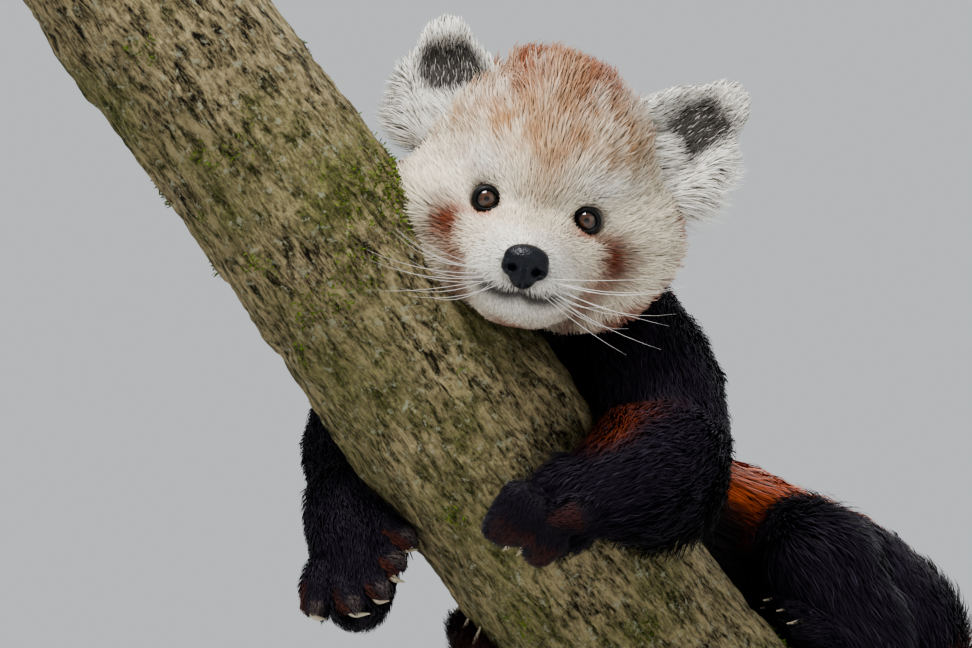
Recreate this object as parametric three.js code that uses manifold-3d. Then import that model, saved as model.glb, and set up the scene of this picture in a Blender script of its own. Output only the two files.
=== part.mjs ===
// Red panda clinging to a cut length of sloping branch, as a still display model on a plain stand.
// Millimetres, +Z up. The origin is the middle of the underside of the stand base.
// The animal faces up the branch with its head turned out to the front (-Y).
import * as THREE from 'three';
import { mergeVertices } from 'three/addons/utils/BufferGeometryUtils.js';
import Module from 'manifold-3d';

const wasm = await Module();
wasm.setup();

// Clearance between two nodes that meet
const GAP = 0.4;

// Stand
const BASE_LENGTH = 460;
const BASE_DEPTH = 360;
const BASE_THICKNESS = 20;
const BASE_CORNER = 30;
const ROD_RADIUS = 8;
const ROD_STATIONS = [400, 560];

// Perch: a cut length of branch, measured from its top cut down along its axis
const PERCH_LENGTH = 630;
const PERCH_TOP_RADIUS = 44.5;
const PERCH_FOOT_RADIUS = 59.5;
const PERCH_BOW = 5;
const PERCH_SLOPE = 46.585;
const PERCH_HEADING = 30;
const PERCH_MARK = new THREE.Vector3(-90, -75, 555);
const PERCH_MARK_STATION = 230;

// Head: the origin of its own frame is midway between the eyes, x to the animal's left, y back, z up
const HEAD_ORIGIN = new THREE.Vector3(62.7, -58.1, 41.4);
const HEAD_TIP_DOWN = 10;
const HEAD_ROLL = 12.2;
const EYE_SPACING = 45.6;
const EYE_RADIUS = 8;
const EYE_APERTURE = 4.7;
const LID_TUBE = 1.5;
const NOSE_WIDTH = 21;
const NOSE_HEIGHT = 18.5;
const NOSE_DEPTH = 13;
const EAR_THICKNESS = 9;

// Claws and toes
const CLAW_RADIUS = 2.3;
const TOE_RADIUS = 7.6;

const deg = THREE.MathUtils.degToRad;

// Axes of the perch: down its length, its top line, and its far side
const slope = deg(PERCH_SLOPE);
const heading = deg(PERCH_HEADING);
const alongAxis = new THREE.Vector3(
  Math.cos(slope) * Math.cos(heading), Math.cos(slope) * Math.sin(heading), -Math.sin(slope));
const topAxis = new THREE.Vector3(
  Math.sin(slope) * Math.cos(heading), Math.sin(slope) * Math.sin(heading), Math.cos(slope));
const farAxis = new THREE.Vector3(-Math.sin(heading), Math.cos(heading), 0);

// Unit vector straight out from the perch axis at an angle from the top line
function outward(around) {
  const turn = deg(around);
  return topAxis.clone().multiplyScalar(Math.cos(turn)).addScaledVector(farAxis, Math.sin(turn));
}

// Point given by its place down the perch, its angle from the top line and its distance from the axis
function at(station, around, out) {
  return PERCH_MARK.clone()
    .addScaledVector(alongAxis, station - PERCH_MARK_STATION)
    .addScaledVector(outward(around), out);
}

// Point given as an offset from the mark on the perch axis
function fromMark(x, y, z) {
  return PERCH_MARK.clone().add(new THREE.Vector3(x, y, z));
}

function perchRadius(station) {
  return PERCH_TOP_RADIUS + (PERCH_FOOT_RADIUS - PERCH_TOP_RADIUS) * station / PERCH_LENGTH;
}

// Frame of the head, tipped to look down the front and rolled to its left
const tip = deg(HEAD_TIP_DOWN);
const roll = deg(HEAD_ROLL);
const lookBack = new THREE.Vector3(0, Math.cos(tip), Math.sin(tip));
const lookUp = new THREE.Vector3(0, -Math.sin(tip), Math.cos(tip));
const headX = new THREE.Vector3(Math.cos(roll), 0, 0).addScaledVector(lookUp, -Math.sin(roll));
const headZ = new THREE.Vector3(Math.sin(roll), 0, 0).addScaledVector(lookUp, Math.cos(roll));
const headFrame = new THREE.Matrix4().makeBasis(headX, lookBack, headZ)
  .setPosition(PERCH_MARK.clone().add(HEAD_ORIGIN));

function fromHead(x, y, z) {
  return new THREE.Vector3(x, y, z).applyMatrix4(headFrame);
}

// Closed solid from a triangle geometry
function solidOf(geometry) {
  const bare = geometry.clone();
  bare.deleteAttribute('normal');
  bare.deleteAttribute('uv');
  const welded = mergeVertices(bare, 1e-4);
  const mesh = new wasm.Mesh({
    numProp: 3,
    vertProperties: new Float32Array(welded.attributes.position.array),
    triVerts: new Uint32Array(welded.index.array),
  });
  mesh.merge();
  return new wasm.Manifold(mesh);
}

// The largest closed body of a solid
function largest(solid) {
  const bodies = solid.decompose();
  let best = bodies[0];
  for (const body of bodies) {
    if (body.volume() > best.volume()) best = body;
  }
  return best;
}

// Rounded body swept along stations of centre, half width and half height
class Limb {
  constructor(stations, up, rings = 14, sides = 18) {
    this.centres = new THREE.CatmullRomCurve3(stations.map((s) => s[0]), false, 'centripetal');
    this.widths = stations.map((s) => s[1]);
    this.heights = stations.map((s) => s[2]);
    this.up = up;
    this.rings = rings;
    this.sides = sides;
  }

  size(list, t) {
    const place = t * (list.length - 1);
    const low = Math.min(Math.floor(place), list.length - 2);
    const part = place - low;
    const before = list[Math.max(low - 1, 0)];
    const after = list[Math.min(low + 2, list.length - 1)];
    const [a, b] = [list[low], list[low + 1]];
    const rise = (b - before) / 2;
    const fall = (after - a) / 2;
    const p2 = part * part;
    const p3 = p2 * part;
    return a * (2 * p3 - 3 * p2 + 1) + rise * (p3 - 2 * p2 + part) + b * (3 * p2 - 2 * p3) + fall * (p3 - p2);
  }

  frame(t) {
    const ahead = this.centres.getTangent(t);
    const up = typeof this.up === 'function' ? this.up(t) : this.up;
    const side = new THREE.Vector3().crossVectors(ahead, up).normalize();
    const top = new THREE.Vector3().crossVectors(side, ahead).normalize();
    return { centre: this.centres.getPoint(t), ahead, side, top };
  }

  geometry(grow = 0) {
    const rings = [];
    const capSteps = this.sides < 6 ? 1 : this.sides < 13 ? 2 : 3;
    const startRadius = (this.widths[0] + this.heights[0]) / 2 + grow;
    const endRadius = (this.widths.at(-1) + this.heights.at(-1)) / 2 + grow;
    for (let i = 1; i < capSteps; i++) {
      const angle = (Math.PI / 2) * (i / capSteps);
      rings.push({ t: 0, shift: -Math.cos(angle) * startRadius, scale: Math.sin(angle) });
    }
    for (let i = 0; i <= this.rings; i++) rings.push({ t: i / this.rings, shift: 0, scale: 1 });
    for (let i = capSteps - 1; i > 0; i--) {
      const angle = (Math.PI / 2) * (i / capSteps);
      rings.push({ t: 1, shift: Math.cos(angle) * endRadius, scale: Math.sin(angle) });
    }
    const points = [];
    for (const ring of rings) {
      const f = this.frame(ring.t);
      const w = (this.size(this.widths, ring.t) + grow) * ring.scale;
      const h = (this.size(this.heights, ring.t) + grow) * ring.scale;
      for (let j = 0; j < this.sides; j++) {
        const turn = (2 * Math.PI * j) / this.sides;
        points.push(f.centre.clone().addScaledVector(f.ahead, ring.shift)
          .addScaledVector(f.side, w * Math.cos(turn)).addScaledVector(f.top, h * Math.sin(turn)));
      }
    }
    const first = this.frame(0);
    const last = this.frame(1);
    points.push(first.centre.clone().addScaledVector(first.ahead, -startRadius));
    points.push(last.centre.clone().addScaledVector(last.ahead, endRadius));
    return ringGeometry(points, rings.length, this.sides);
  }

  solid(grow = 0) {
    return solidOf(this.geometry(grow));
  }

  // Core sunk under the tips of the coat, with seeded locks lying along it out to those tips
  coated(coat, grow = 0) {
    const random = seeded(coat.seed);
    let body = solidOf(this.geometry(grow - coat.depth));
    for (let row = 0; row < coat.rows; row++) {
      for (let k = 0; k < coat.perRow; k++) {
        const t = Math.min(0.98, (row + 0.15 + 0.5 * random()) / coat.rows);
        const turn = (2 * Math.PI * (k + 0.5 * (row % 2) + 0.35 * random())) / coat.perRow;
        const size = 0.85 + 0.3 * random();
        const sway = (random() - 0.5) * 0.5;
        const f = this.frame(t);
        const w = this.size(this.widths, t) - coat.depth;
        const h = this.size(this.heights, t) - coat.depth;
        const root = f.centre.clone().addScaledVector(f.side, w * Math.cos(turn))
          .addScaledVector(f.top, h * Math.sin(turn));
        const out = f.side.clone().multiplyScalar(Math.cos(turn)).addScaledVector(f.top, Math.sin(turn));
        if (coat.keep && !coat.keep(out, t)) continue;
        const along = f.ahead.clone().addScaledVector(new THREE.Vector3().crossVectors(f.ahead, out), sway)
          .normalize();
        const lock = lockSolid(root, out, along, coat.length * size, coat.width, coat.depth * 0.97, grow);
        body = body.add(lock);
      }
    }
    return body;
  }
}

// Random numbers that repeat for a seed
function seeded(seed) {
  let state = seed;
  return () => {
    state = (state * 1664525 + 1013904223) % 4294967296;
    return state / 4294967296;
  };
}

// Lock: a flat tapered tuft, its root sunk in the core, bending along the lie of the coat
function lockSolid(root, out, along, length, width, lift, grow = 0) {
  const side = new THREE.Vector3().crossVectors(along, out).normalize();
  const stations = [[-0.08, -0.9, 0.5, 0.5], [0.4, 0.7, 0.52, 0.42], [0.76, 0.9, 0.34, 0.28]];
  const points = [];
  for (const [ahead, rise, wide, thick] of stations) {
    const centre = root.clone().addScaledVector(along, ahead * length).addScaledVector(out, rise * lift);
    const w = wide * width + grow;
    const h = thick * lift * 0.8 + grow;
    points.push(centre.clone().addScaledVector(side, w));
    points.push(centre.clone().addScaledVector(out, h * 0.35));
    points.push(centre.clone().addScaledVector(side, -w));
    points.push(centre.clone().addScaledVector(out, -h));
  }
  points.push(root.clone().addScaledVector(along, -0.16 * length - grow).addScaledVector(out, -1.1 * lift));
  points.push(root.clone().addScaledVector(along, length + 2 * grow).addScaledVector(out, 0.7 * lift));
  return solidOf(ringGeometry(points, stations.length, 4));
}

// Triangles over rings of points closed by a first and a last pole
function ringGeometry(points, ringCount, sides) {
  const faces = [];
  const startPole = ringCount * sides;
  const endPole = startPole + 1;
  for (let i = 0; i < ringCount - 1; i++) {
    for (let j = 0; j < sides; j++) {
      const k = (j + 1) % sides;
      const a = i * sides + j;
      const b = i * sides + k;
      const c = (i + 1) * sides + k;
      const d = (i + 1) * sides + j;
      faces.push(a, c, b, a, d, c);
    }
  }
  for (let j = 0; j < sides; j++) {
    const k = (j + 1) % sides;
    faces.push(startPole, j, k);
    faces.push(endPole, (ringCount - 1) * sides + k, (ringCount - 1) * sides + j);
  }
  const geometry = new THREE.BufferGeometry();
  geometry.setAttribute('position', new THREE.Float32BufferAttribute(points.flatMap((p) => p.toArray()), 3));
  geometry.setIndex(faces);
  return geometry;
}

// Perch: a slightly bowed, slightly uneven branch with flat cut ends
function perchGeometry(grow = 0) {
  const sides = 20;
  const rings = 9;
  const points = [];
  for (let i = 0; i <= rings; i++) {
    const part = i / rings;
    const station = PERCH_LENGTH * part + (i === 0 ? -grow : 0) + (i === rings ? grow : 0);
    const bow = PERCH_BOW * Math.sin(Math.PI * part);
    for (let j = 0; j < sides; j++) {
      const around = (360 * j) / sides;
      const uneven = 0.8 * Math.sin(deg(around) * 3 + part * 7) + 0.6 * Math.sin(deg(around) * 5 - part * 11);
      const out = perchRadius(PERCH_LENGTH * part) + uneven + grow;
      points.push(at(station, around, out).addScaledVector(topAxis, -bow));
    }
  }
  points.push(at(-grow, 0, 0));
  points.push(at(PERCH_LENGTH + grow, 0, 0));
  return ringGeometry(points, rings + 1, sides);
}

// Stand base: a flat plate with rounded corners
function baseGeometry(grow = 0) {
  const x = BASE_LENGTH / 2 + grow;
  const y = BASE_DEPTH / 2 + grow;
  const r = BASE_CORNER + grow;
  const outline = new THREE.Shape();
  outline.moveTo(-x + r, -y);
  outline.lineTo(x - r, -y);
  outline.absarc(x - r, -y + r, r, -Math.PI / 2, 0);
  outline.lineTo(x, y - r);
  outline.absarc(x - r, y - r, r, 0, Math.PI / 2);
  outline.lineTo(-x + r, y);
  outline.absarc(-x + r, y - r, r, Math.PI / 2, Math.PI);
  outline.lineTo(-x, -y + r);
  outline.absarc(-x + r, -y + r, r, Math.PI, 1.5 * Math.PI);
  const geometry = new THREE.ExtrudeGeometry(outline, {
    depth: BASE_THICKNESS + 2 * grow, bevelEnabled: false, curveSegments: 8,
  });
  geometry.translate(0, 0, -grow);
  return geometry;
}

// Stand rod: upright under the perch axis, from the plate up into the perch
function rodSolid(station, grow = 0) {
  const top = at(station, 0, 0);
  const length = top.z - BASE_THICKNESS - GAP + 2 * grow;
  const geometry = new THREE.CylinderGeometry(ROD_RADIUS + grow, ROD_RADIUS + grow, length, 28);
  geometry.rotateX(Math.PI / 2);
  geometry.translate(top.x, top.y, BASE_THICKNESS + GAP - grow + length / 2);
  return solidOf(geometry);
}

// Lumps that blend into the head: centre, then half sizes
const HEAD_LUMPS = [
  [0, 42, 20, 50, 52, 47],
  [0, 40, 40, 30, 34, 28],
  [-34, 33, -6, 31, 32, 28],
  [34, 33, -6, 31, 32, 28],
  [-24, 30, -24, 30, 30, 24],
  [24, 30, -24, 30, 30, 24],
  [0, 9, 20, 33, 24, 26],
  [0, 2, -22, 34, 22, 21],
  [0, -6, -25, 27, 24, 18],
  [0, -14, -26, 20, 27, 15.5],
  [0, -27, -26, 15, 16, 12.5],
  [-10, -22, -31, 12, 14, 10],
  [10, -22, -31, 12, 14, 10],
  [0, -4, -38, 20, 26, 13],
];
const HEAD_CORE = new THREE.Vector3(0, 24, -4);
const HEAD_BLEND = 6.5;

// Below one inside the blended lumps, above one outside
function headField(x, y, z) {
  let sum = 0;
  for (const [cx, cy, cz, rx, ry, rz] of HEAD_LUMPS) {
    const far = Math.hypot((x - cx) / rx, (y - cy) / ry, (z - cz) / rz);
    sum += Math.max(far, 0.05) ** -HEAD_BLEND;
  }
  return sum ** (-1 / HEAD_BLEND);
}

// Depth of the front of the face at a place seen straight on
function faceDepth(x, z) {
  let outside = -80;
  let inside = 30;
  for (let i = 0; i < 40; i++) {
    const y = (outside + inside) / 2;
    if (headField(x, y, z) > 1) outside = y;
    else inside = y;
  }
  return outside;
}

function headShell(grow) {
  const geometry = new THREE.IcosahedronGeometry(1, 7);
  const place = geometry.attributes.position;
  const ray = new THREE.Vector3();
  for (let i = 0; i < place.count; i++) {
    ray.fromBufferAttribute(place, i).normalize();
    let low = 5;
    let high = 140;
    for (let k = 0; k < 36; k++) {
      const r = (low + high) / 2;
      const inside = headField(
        HEAD_CORE.x + ray.x * r, HEAD_CORE.y + ray.y * r, HEAD_CORE.z + ray.z * r) < 1;
      if (inside) low = r;
      else high = r;
    }
    ray.multiplyScalar(low + grow).add(HEAD_CORE);
    place.setXYZ(i, ray.x, ray.y, ray.z);
  }
  return solidOf(geometry);
}

// Point of the head's surface and its slope along a ray from the core
function headPoint(ray) {
  let low = 5;
  let high = 140;
  const spot = new THREE.Vector3();
  for (let k = 0; k < 30; k++) {
    const r = (low + high) / 2;
    spot.copy(ray).multiplyScalar(r).add(HEAD_CORE);
    if (headField(spot.x, spot.y, spot.z) < 1) low = r;
    else high = r;
  }
  const e = 0.5;
  const here = headField(spot.x, spot.y, spot.z);
  const out = new THREE.Vector3(
    headField(spot.x + e, spot.y, spot.z) - here,
    headField(spot.x, spot.y + e, spot.z) - here,
    headField(spot.x, spot.y, spot.z + e) - here).normalize();
  return { spot, out };
}

// Cheek ruff, brow tufts and crown: rings of locks swept outward and back from the face
const RUFF = [
  { from: -58, to: 58, count: 7, back: 0.2, length: 27, width: 21, lift: 6 },
  { from: -50, to: 64, count: 6, back: 0.7, length: 30, width: 23, lift: 6 },
];

function ruffSolids(grow = 0) {
  const locks = [];
  const random = seeded(97);
  for (const side of [-1, 1]) {
    for (const row of RUFF) {
      for (let i = 0; i < row.count; i++) {
        const angle = deg(row.from + ((row.to - row.from) * (i + 0.3 * random())) / (row.count - 1) - 12);
        const ray = new THREE.Vector3(side * Math.cos(angle), row.back - 0.1, Math.sin(angle)).normalize();
        const { spot, out } = headPoint(ray);
        const sweep = new THREE.Vector3(side * Math.cos(angle), 0.9, Math.sin(angle) - 0.35);
        const along = sweep.addScaledVector(out, -sweep.dot(out)).normalize();
        locks.push(lockSolid(spot, out, along, row.length * (0.85 + 0.3 * random()), row.width, row.lift, grow));
      }
    }
  }
  return locks;
}

function headCoated(grow = 0) {
  let body = headShell(grow);
  for (const lock of ruffSolids(grow)) body = body.add(lock);
  return body;
}

function ellipsoid(centre, size, grow = 0, detail = 5) {
  const geometry = new THREE.IcosahedronGeometry(1, detail);
  geometry.scale(size[0] + grow, size[1] + grow, size[2] + grow);
  geometry.translate(centre[0], centre[1], centre[2]);
  return solidOf(geometry);
}

// Eyeball, in the head frame, set so that its front shows through an aperture in the skin
function eyeCentre(side) {
  const x = (side * EYE_SPACING) / 2;
  const sink = Math.sqrt(EYE_RADIUS ** 2 - EYE_APERTURE ** 2);
  return [x, faceDepth(x, 0) + sink, 0];
}

function eyeSolid(side, grow = 0) {
  return ellipsoid(eyeCentre(side), [EYE_RADIUS, EYE_RADIUS, EYE_RADIUS], grow, 2);
}

// Nose leather: a rounded pad, broad above, with two comma nostrils
function nosePad(grow = 0) {
  const y = faceDepth(0, -26);
  const upper = ellipsoid([0, y + 1.5, -23.5], [NOSE_WIDTH / 2, NOSE_DEPTH / 2, NOSE_HEIGHT * 0.36], grow, 1);
  const lower = ellipsoid([0, y + 0.8, -29], [NOSE_WIDTH * 0.36, NOSE_DEPTH / 2, NOSE_HEIGHT * 0.34], grow, 1);
  return upper.add(lower);
}

function noseSolid() {
  const y = faceDepth(0, -26);
  let pad = nosePad();
  for (const side of [-1, 1]) {
    const hole = ellipsoid([side * 5, y - 4.6, -26], [2.3, 3.2, 1.9], 0, 1);
    const slit = ellipsoid([side * 8.4, y - 2.6, -27.4], [3, 2.6, 1], 0, 1);
    pad = pad.subtract(hole).subtract(slit);
  }
  return largest(pad);
}

// Line of the mouth in the head frame, from the middle to one corner
function mouthLine(side) {
  const rows = [[0, -39.5], [5, -41], [10, -40.5], [15, -38.5], [19.5, -36.5]];
  return rows.map(([x, z]) => new THREE.Vector3(side * x, faceDepth(side * x, z), z));
}

function headSolid() {
  let head = headCoated(0);
  const forward = new THREE.Vector3(0, -1, 0);
  for (const side of [-1, 1]) {
    const eye = eyeCentre(side);
    const lid = new THREE.TorusGeometry(EYE_APERTURE + 0.9, LID_TUBE, 5, 14);
    lid.rotateX(Math.PI / 2);
    lid.scale(1.04, 1, 0.97);
    lid.rotateZ(side * 0.42);
    lid.translate(eye[0], faceDepth(eye[0], 0) + 0.9, 0);
    head = head.add(solidOf(lid));
    const lip = new Limb(mouthLine(side).map((p) => [p, 2.4, 2]), forward, 5, 7);
    head = head.add(lip.solid());
  }
  for (const side of [-1, 1]) {
    const groove = new Limb(mouthLine(side).map((p) => [p.clone().add(forward.clone().multiplyScalar(1.6)), 1, 1.5]),
      forward, 5, 5);
    head = head.subtract(groove.solid());
    head = head.subtract(eyeSolid(side, GAP));
  }
  const cleft = [[0, -34], [0, -37], [0, -40]].map(([x, z]) =>
    [new THREE.Vector3(x, faceDepth(x, z) - 1, z), 0.9, 1.6]);
  head = head.subtract(new Limb(cleft, forward, 2, 5).solid());
  head = head.subtract(nosePad(GAP));
  return largest(head);
}

// Ear: a rounded leaf with a cup in its front, grown from a broad root inside the head
const EARS = {
  left: { root: [46, 43, 34], middle: [62, 43, 52], end: [76, 43, 67] },
  right: { root: [-44, 43, 34], middle: [-52, 43, 54], end: [-57, 43, 70] },
};

function earLimb(side, thickness, inset, lift) {
  const { root, middle, end } = EARS[side];
  const lifted = (p) => new THREE.Vector3(p[0], p[1] - lift, p[2]);
  return new Limb([
    [lifted(root), 27 - inset, thickness],
    [lifted(middle), 24 - inset, thickness * 0.8],
    [lifted(end), 13 - inset, thickness * 0.5],
  ], new THREE.Vector3(0, -1, 0), 4, 12);
}

// Fringe of the ear: long hairs that stand out from its rim, longest on the outer edge
function earFringe(side, grow = 0) {
  const leaf = earLimb(side, EAR_THICKNESS, 0, 0);
  const outer = side === 'left' ? 1 : -1;
  const locks = [];
  for (const edge of [-1, 1]) {
    for (let i = 0; i < 4; i++) {
      const t = 0.3 + 0.2 * i;
      const f = leaf.frame(t);
      const wide = leaf.size(leaf.widths, t);
      const away = f.side.clone().multiplyScalar(edge);
      if (away.x * outer < 0) continue;
      const root = f.centre.clone().addScaledVector(away, wide - 4);
      const along = f.ahead.clone().multiplyScalar(0.9).add(away).normalize();
      const front = new THREE.Vector3(0, -1, 0);
      locks.push(lockSolid(root, front, along, 13, 12, 2.6, grow));
    }
  }
  return locks;
}

function earGrown(side) {
  let body = earLimb(side, EAR_THICKNESS + GAP, -GAP, 0).solid();
  for (const lock of earFringe(side, GAP)) body = body.add(lock);
  return body;
}

function earSolid(side) {
  let leaf = earLimb(side, EAR_THICKNESS, 0, 0).solid();
  for (const lock of earFringe(side)) leaf = leaf.add(lock);
  const cup = earLimb(side, EAR_THICKNESS * 0.75, 6, EAR_THICKNESS).solid();
  return leaf.subtract(cup);
}

// Bodies of the trunk and limbs, each by its stations out to the tips of the coat
const LIMBS = {
  neck: new Limb([
    [fromHead(0, 50, -6), 50, 48],
    [fromMark(56, 44, 40), 55, 52],
    [at(284, 27, 98), 58, 55],
  ], new THREE.Vector3(0, 0, 1), 4, 13),
  torso: new Limb([
    [at(270, 27, 98), 48, 46],
    [at(298, 29, 102), 60, 57],
    [at(345, 37, 99), 60, 56],
    [at(396, 42, 98), 58, 54],
    [at(450, 36, 104), 63, 61],
    [at(492, 28, 110), 67, 64],
    [at(528, 26, 109), 62, 61],
    [at(548, 26, 106), 50, 51],
  ], outward(32), 10, 14),
  arm_left_upper: new Limb([
    [at(297, 5.5, 93), 34, 34],
    [at(323, -23, 75), 35, 35],
    [at(346, -58, 70), 32, 32],
  ], outward(-20), 4, 11),
  arm_left_lower: new Limb([
    [at(347, -61, 71), 33, 33],
    [at(336, -86, 78), 29, 29],
    [at(328, -102, 75), 24, 23],
  ], outward(-75), 4, 11),
  arm_right_upper: new Limb([
    [at(304, 48, 106), 38, 38],
    [at(286, 66, 102), 34, 34],
    [at(271, 81, 94), 29, 29],
  ], outward(70), 4, 11),
  arm_right_lower: new Limb([
    [at(271, 81, 93), 28, 28],
    [at(277, 104, 80), 25, 25],
    [at(285, 132, 69), 23, 23],
  ], outward(115), 4, 11),
  leg_left_upper: new Limb([
    [at(516, 8, 112), 46, 46],
    [at(486, 5, 106), 43, 42],
    [at(457, 1, 98), 34, 34],
  ], outward(0), 4, 11),
  leg_left_lower: new Limb([
    [at(455, -7, 93), 30, 30],
    [at(486, -14, 87), 26, 26],
    [at(513, -14, 82), 20, 20],
  ], outward(-10), 4, 11),
  leg_right_upper: new Limb([
    [at(534, 46, 115), 46, 46],
    [at(498, 56, 118), 43, 43],
    [at(468, 66, 117), 34, 34],
  ], outward(55), 4, 11),
  leg_right_lower: new Limb([
    [at(467, 70, 115), 30, 30],
    [at(474, 89, 105), 26, 26],
    [at(478, 106, 94), 21, 21],
  ], outward(90), 4, 11),
  tail_base: new Limb([
    [at(552, 27, 102), 34, 34],
    [fromMark(250, 200, -202), 38, 38],
    [fromMark(276, 217, -240), 42, 42],
    [fromMark(286, 222, -282), 44, 44],
  ], new THREE.Vector3(0, 1, 0), 4, 11),
  tail_middle: new Limb([
    [fromMark(286, 222, -284), 44, 44],
    [fromMark(284, 220, -325), 45, 45],
    [fromMark(276, 214, -370), 44, 44],
  ], new THREE.Vector3(0, 1, 0), 4, 11),
  tail_tip: new Limb([
    [fromMark(276, 214, -372), 43, 43],
    [fromMark(268, 209, -412), 39, 39],
    [fromMark(264, 207, -446), 29, 29],
    [fromMark(264, 208, -474), 14, 14],
  ], new THREE.Vector3(0, 1, 0), 4, 11),
};

// Long coat: depth of the locks over the core, their rows, length and width
const clearOfPerch = (away) => (out) => out.dot(outward(away)) > -0.2;
const COATS = {
  torso: { seed: 23, depth: 8, rows: 5, perRow: 7, length: 54, width: 30, keep: clearOfPerch(32) },
  leg_left_upper: { seed: 47, depth: 7, rows: 2, perRow: 5, length: 38, width: 25, keep: clearOfPerch(0) },
  leg_right_upper: { seed: 53, depth: 7, rows: 2, perRow: 5, length: 38, width: 25, keep: clearOfPerch(55) },
  tail_base: { seed: 61, depth: 10, rows: 2, perRow: 7, length: 50, width: 26 },
  tail_middle: { seed: 67, depth: 10, rows: 2, perRow: 7, length: 50, width: 26 },
  tail_tip: { seed: 71, depth: 9, rows: 2, perRow: 6, length: 48, width: 24 },
};

function limbSolid(name, grow = 0) {
  return COATS[name] ? LIMBS[name].coated(COATS[name], grow) : LIMBS[name].solid(grow);
}

// Paws: a palm by its stations, and for each toe its root, its end and the point of its claw
const PAWS = {
  left_front: {
    palm: [[at(328, -101, 74), 22, 19], [at(327, -112, 71), 22, 15], [at(325, -120, 70), 19, 12]],
    up: outward(-112),
    toes: [
      [at(317, -115, 70), at(315.5, -130, 62), at(320, -139, 55.5)],
      [at(318, -121, 70), at(320.6, -138, 62), at(327, -147, 55.3)],
      [at(323, -117, 71), at(326, -135, 63), at(332, -145, 55.5)],
      [at(329, -114, 70), at(333, -129, 63), at(337, -141, 55.5)],
      [at(334, -104, 70), at(332, -114, 65), at(338, -121, 57)],
    ],
  },
  right_front: {
    palm: [[at(289, 139, 72), 26, 24], [at(302, 152, 80), 30, 24], [at(311, 157, 87), 28, 21]],
    up: outward(175),
    toes: [
      [at(295, 163, 68), at(306, 172, 67), at(315, 171, 65)],
      [at(299, 164, 76), at(310, 174, 76), at(321, 173, 77)],
      [at(303, 165, 82), at(315, 173, 86), at(322, 174, 86)],
      [at(301, 164, 88), at(312, 170, 96), at(321, 172, 93)],
      [at(297, 160, 92), at(304, 164, 104), at(313, 165, 105)],
    ],
  },
  left_hind: {
    palm: [[at(518, -13, 80), 18, 17], [at(500, -14, 76), 19, 15], [at(478, -13, 73), 20, 13]],
    up: outward(-13),
    toes: [-2, -1, 0, 1, 2].map((i) => [
      at(480, -13 + i * 6, 71),
      at(458 + Math.abs(i) * 5, -14 + i * 9, 66),
      at(447 + Math.abs(i) * 5, -14 + i * 9.5, 58.5)]),
  },
  right_hind: {
    palm: [[at(474, 112, 89), 20, 18], [at(440, 126, 80), 20, 16], [at(400, 134, 73), 22, 13]],
    up: outward(125),
    toes: [-2, -1, 0, 1, 2].map((i) => [
      at(398, 135 + i * 7, 71),
      at(368 + Math.abs(i) * 5, 141 + i * 9.5, 65),
      at(355 + Math.abs(i) * 5, 142 + i * 10, 57)]),
  },
};

// Claw: a curved cone that rises out of the end of its toe and bends down to its point
function clawLimb(paw, digit) {
  const [root, end, point] = PAWS[paw].toes[digit];
  const start = end.clone().lerp(root, 0.12);
  const bend = end.clone().lerp(point, 0.55).addScaledVector(PAWS[paw].up, 2.2);
  return new Limb([[start, CLAW_RADIUS, CLAW_RADIUS], [bend, CLAW_RADIUS * 0.8, CLAW_RADIUS],
    [point, 0.5, 0.6]], PAWS[paw].up, 3, 5);
}

function pawSolid(paw, grow = 0) {
  const { palm, up, toes } = PAWS[paw];
  let body = new Limb(palm, up, 3, 9).solid(grow);
  for (const [root, end] of toes) {
    const middle = root.clone().lerp(end, 0.5).addScaledVector(up, 1.5);
    const toe = new Limb([[root, TOE_RADIUS, TOE_RADIUS], [middle, TOE_RADIUS, TOE_RADIUS],
      [end, TOE_RADIUS * 0.85, TOE_RADIUS * 0.85]], up, 2, 6);
    body = body.add(toe.solid(grow));
  }
  return body;
}

// Finishes: colour, roughness, metalness
const FINISH = {
  rust: [0x8a4a26, 0.85, 0],
  dark: [0x1f1a18, 0.85, 0],
  face: [0xcbb9a6, 0.85, 0],
  nose: [0x17171a, 0.35, 0],
  eye: [0x120c09, 0.12, 0],
  claw: [0xd9cdb4, 0.45, 0],
  bark: [0x5b5640, 0.95, 0],
  base: [0x2b2b2d, 0.5, 0],
  rod: [0xa9abad, 0.3, 1],
};

// Every node in the order it is cut: a node gives way to all those before it
const order = [];

function node(name, finish, body, grown) {
  order.push({ name, finish, body: body.simplify(0.15), grown: grown.simplify(0.08) });
}

node('stand_base', 'base', solidOf(baseGeometry()), solidOf(baseGeometry(GAP)));
node('perch', 'bark', solidOf(perchGeometry()), solidOf(perchGeometry(GAP)));
ROD_STATIONS.forEach((station, i) => {
  node(`stand_rod_${['upper', 'lower'][i]}`, 'rod', rodSolid(station), rodSolid(station, GAP));
});
for (const [side, name] of [[1, 'left'], [-1, 'right']]) {
  node(`eye_${name}`, 'eye', eyeSolid(side).transform(headFrame.elements),
    eyeSolid(side, GAP).transform(headFrame.elements));
}
node('nose', 'nose', noseSolid().transform(headFrame.elements), nosePad(GAP).transform(headFrame.elements));
for (const paw of Object.keys(PAWS)) {
  for (let digit = 0; digit < 5; digit++) {
    const claw = clawLimb(paw, digit);
    node(`claw_${paw}_${digit + 1}`, 'claw', claw.solid(), claw.solid(GAP));
  }
}
node('head', 'face', headSolid().transform(headFrame.elements), headCoated(GAP).transform(headFrame.elements));
for (const side of ['left', 'right']) {
  node(`ear_${side}`, 'face', earSolid(side).transform(headFrame.elements),
    earGrown(side).transform(headFrame.elements));
}
node('torso', 'rust', limbSolid('torso'), limbSolid('torso', GAP));
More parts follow.
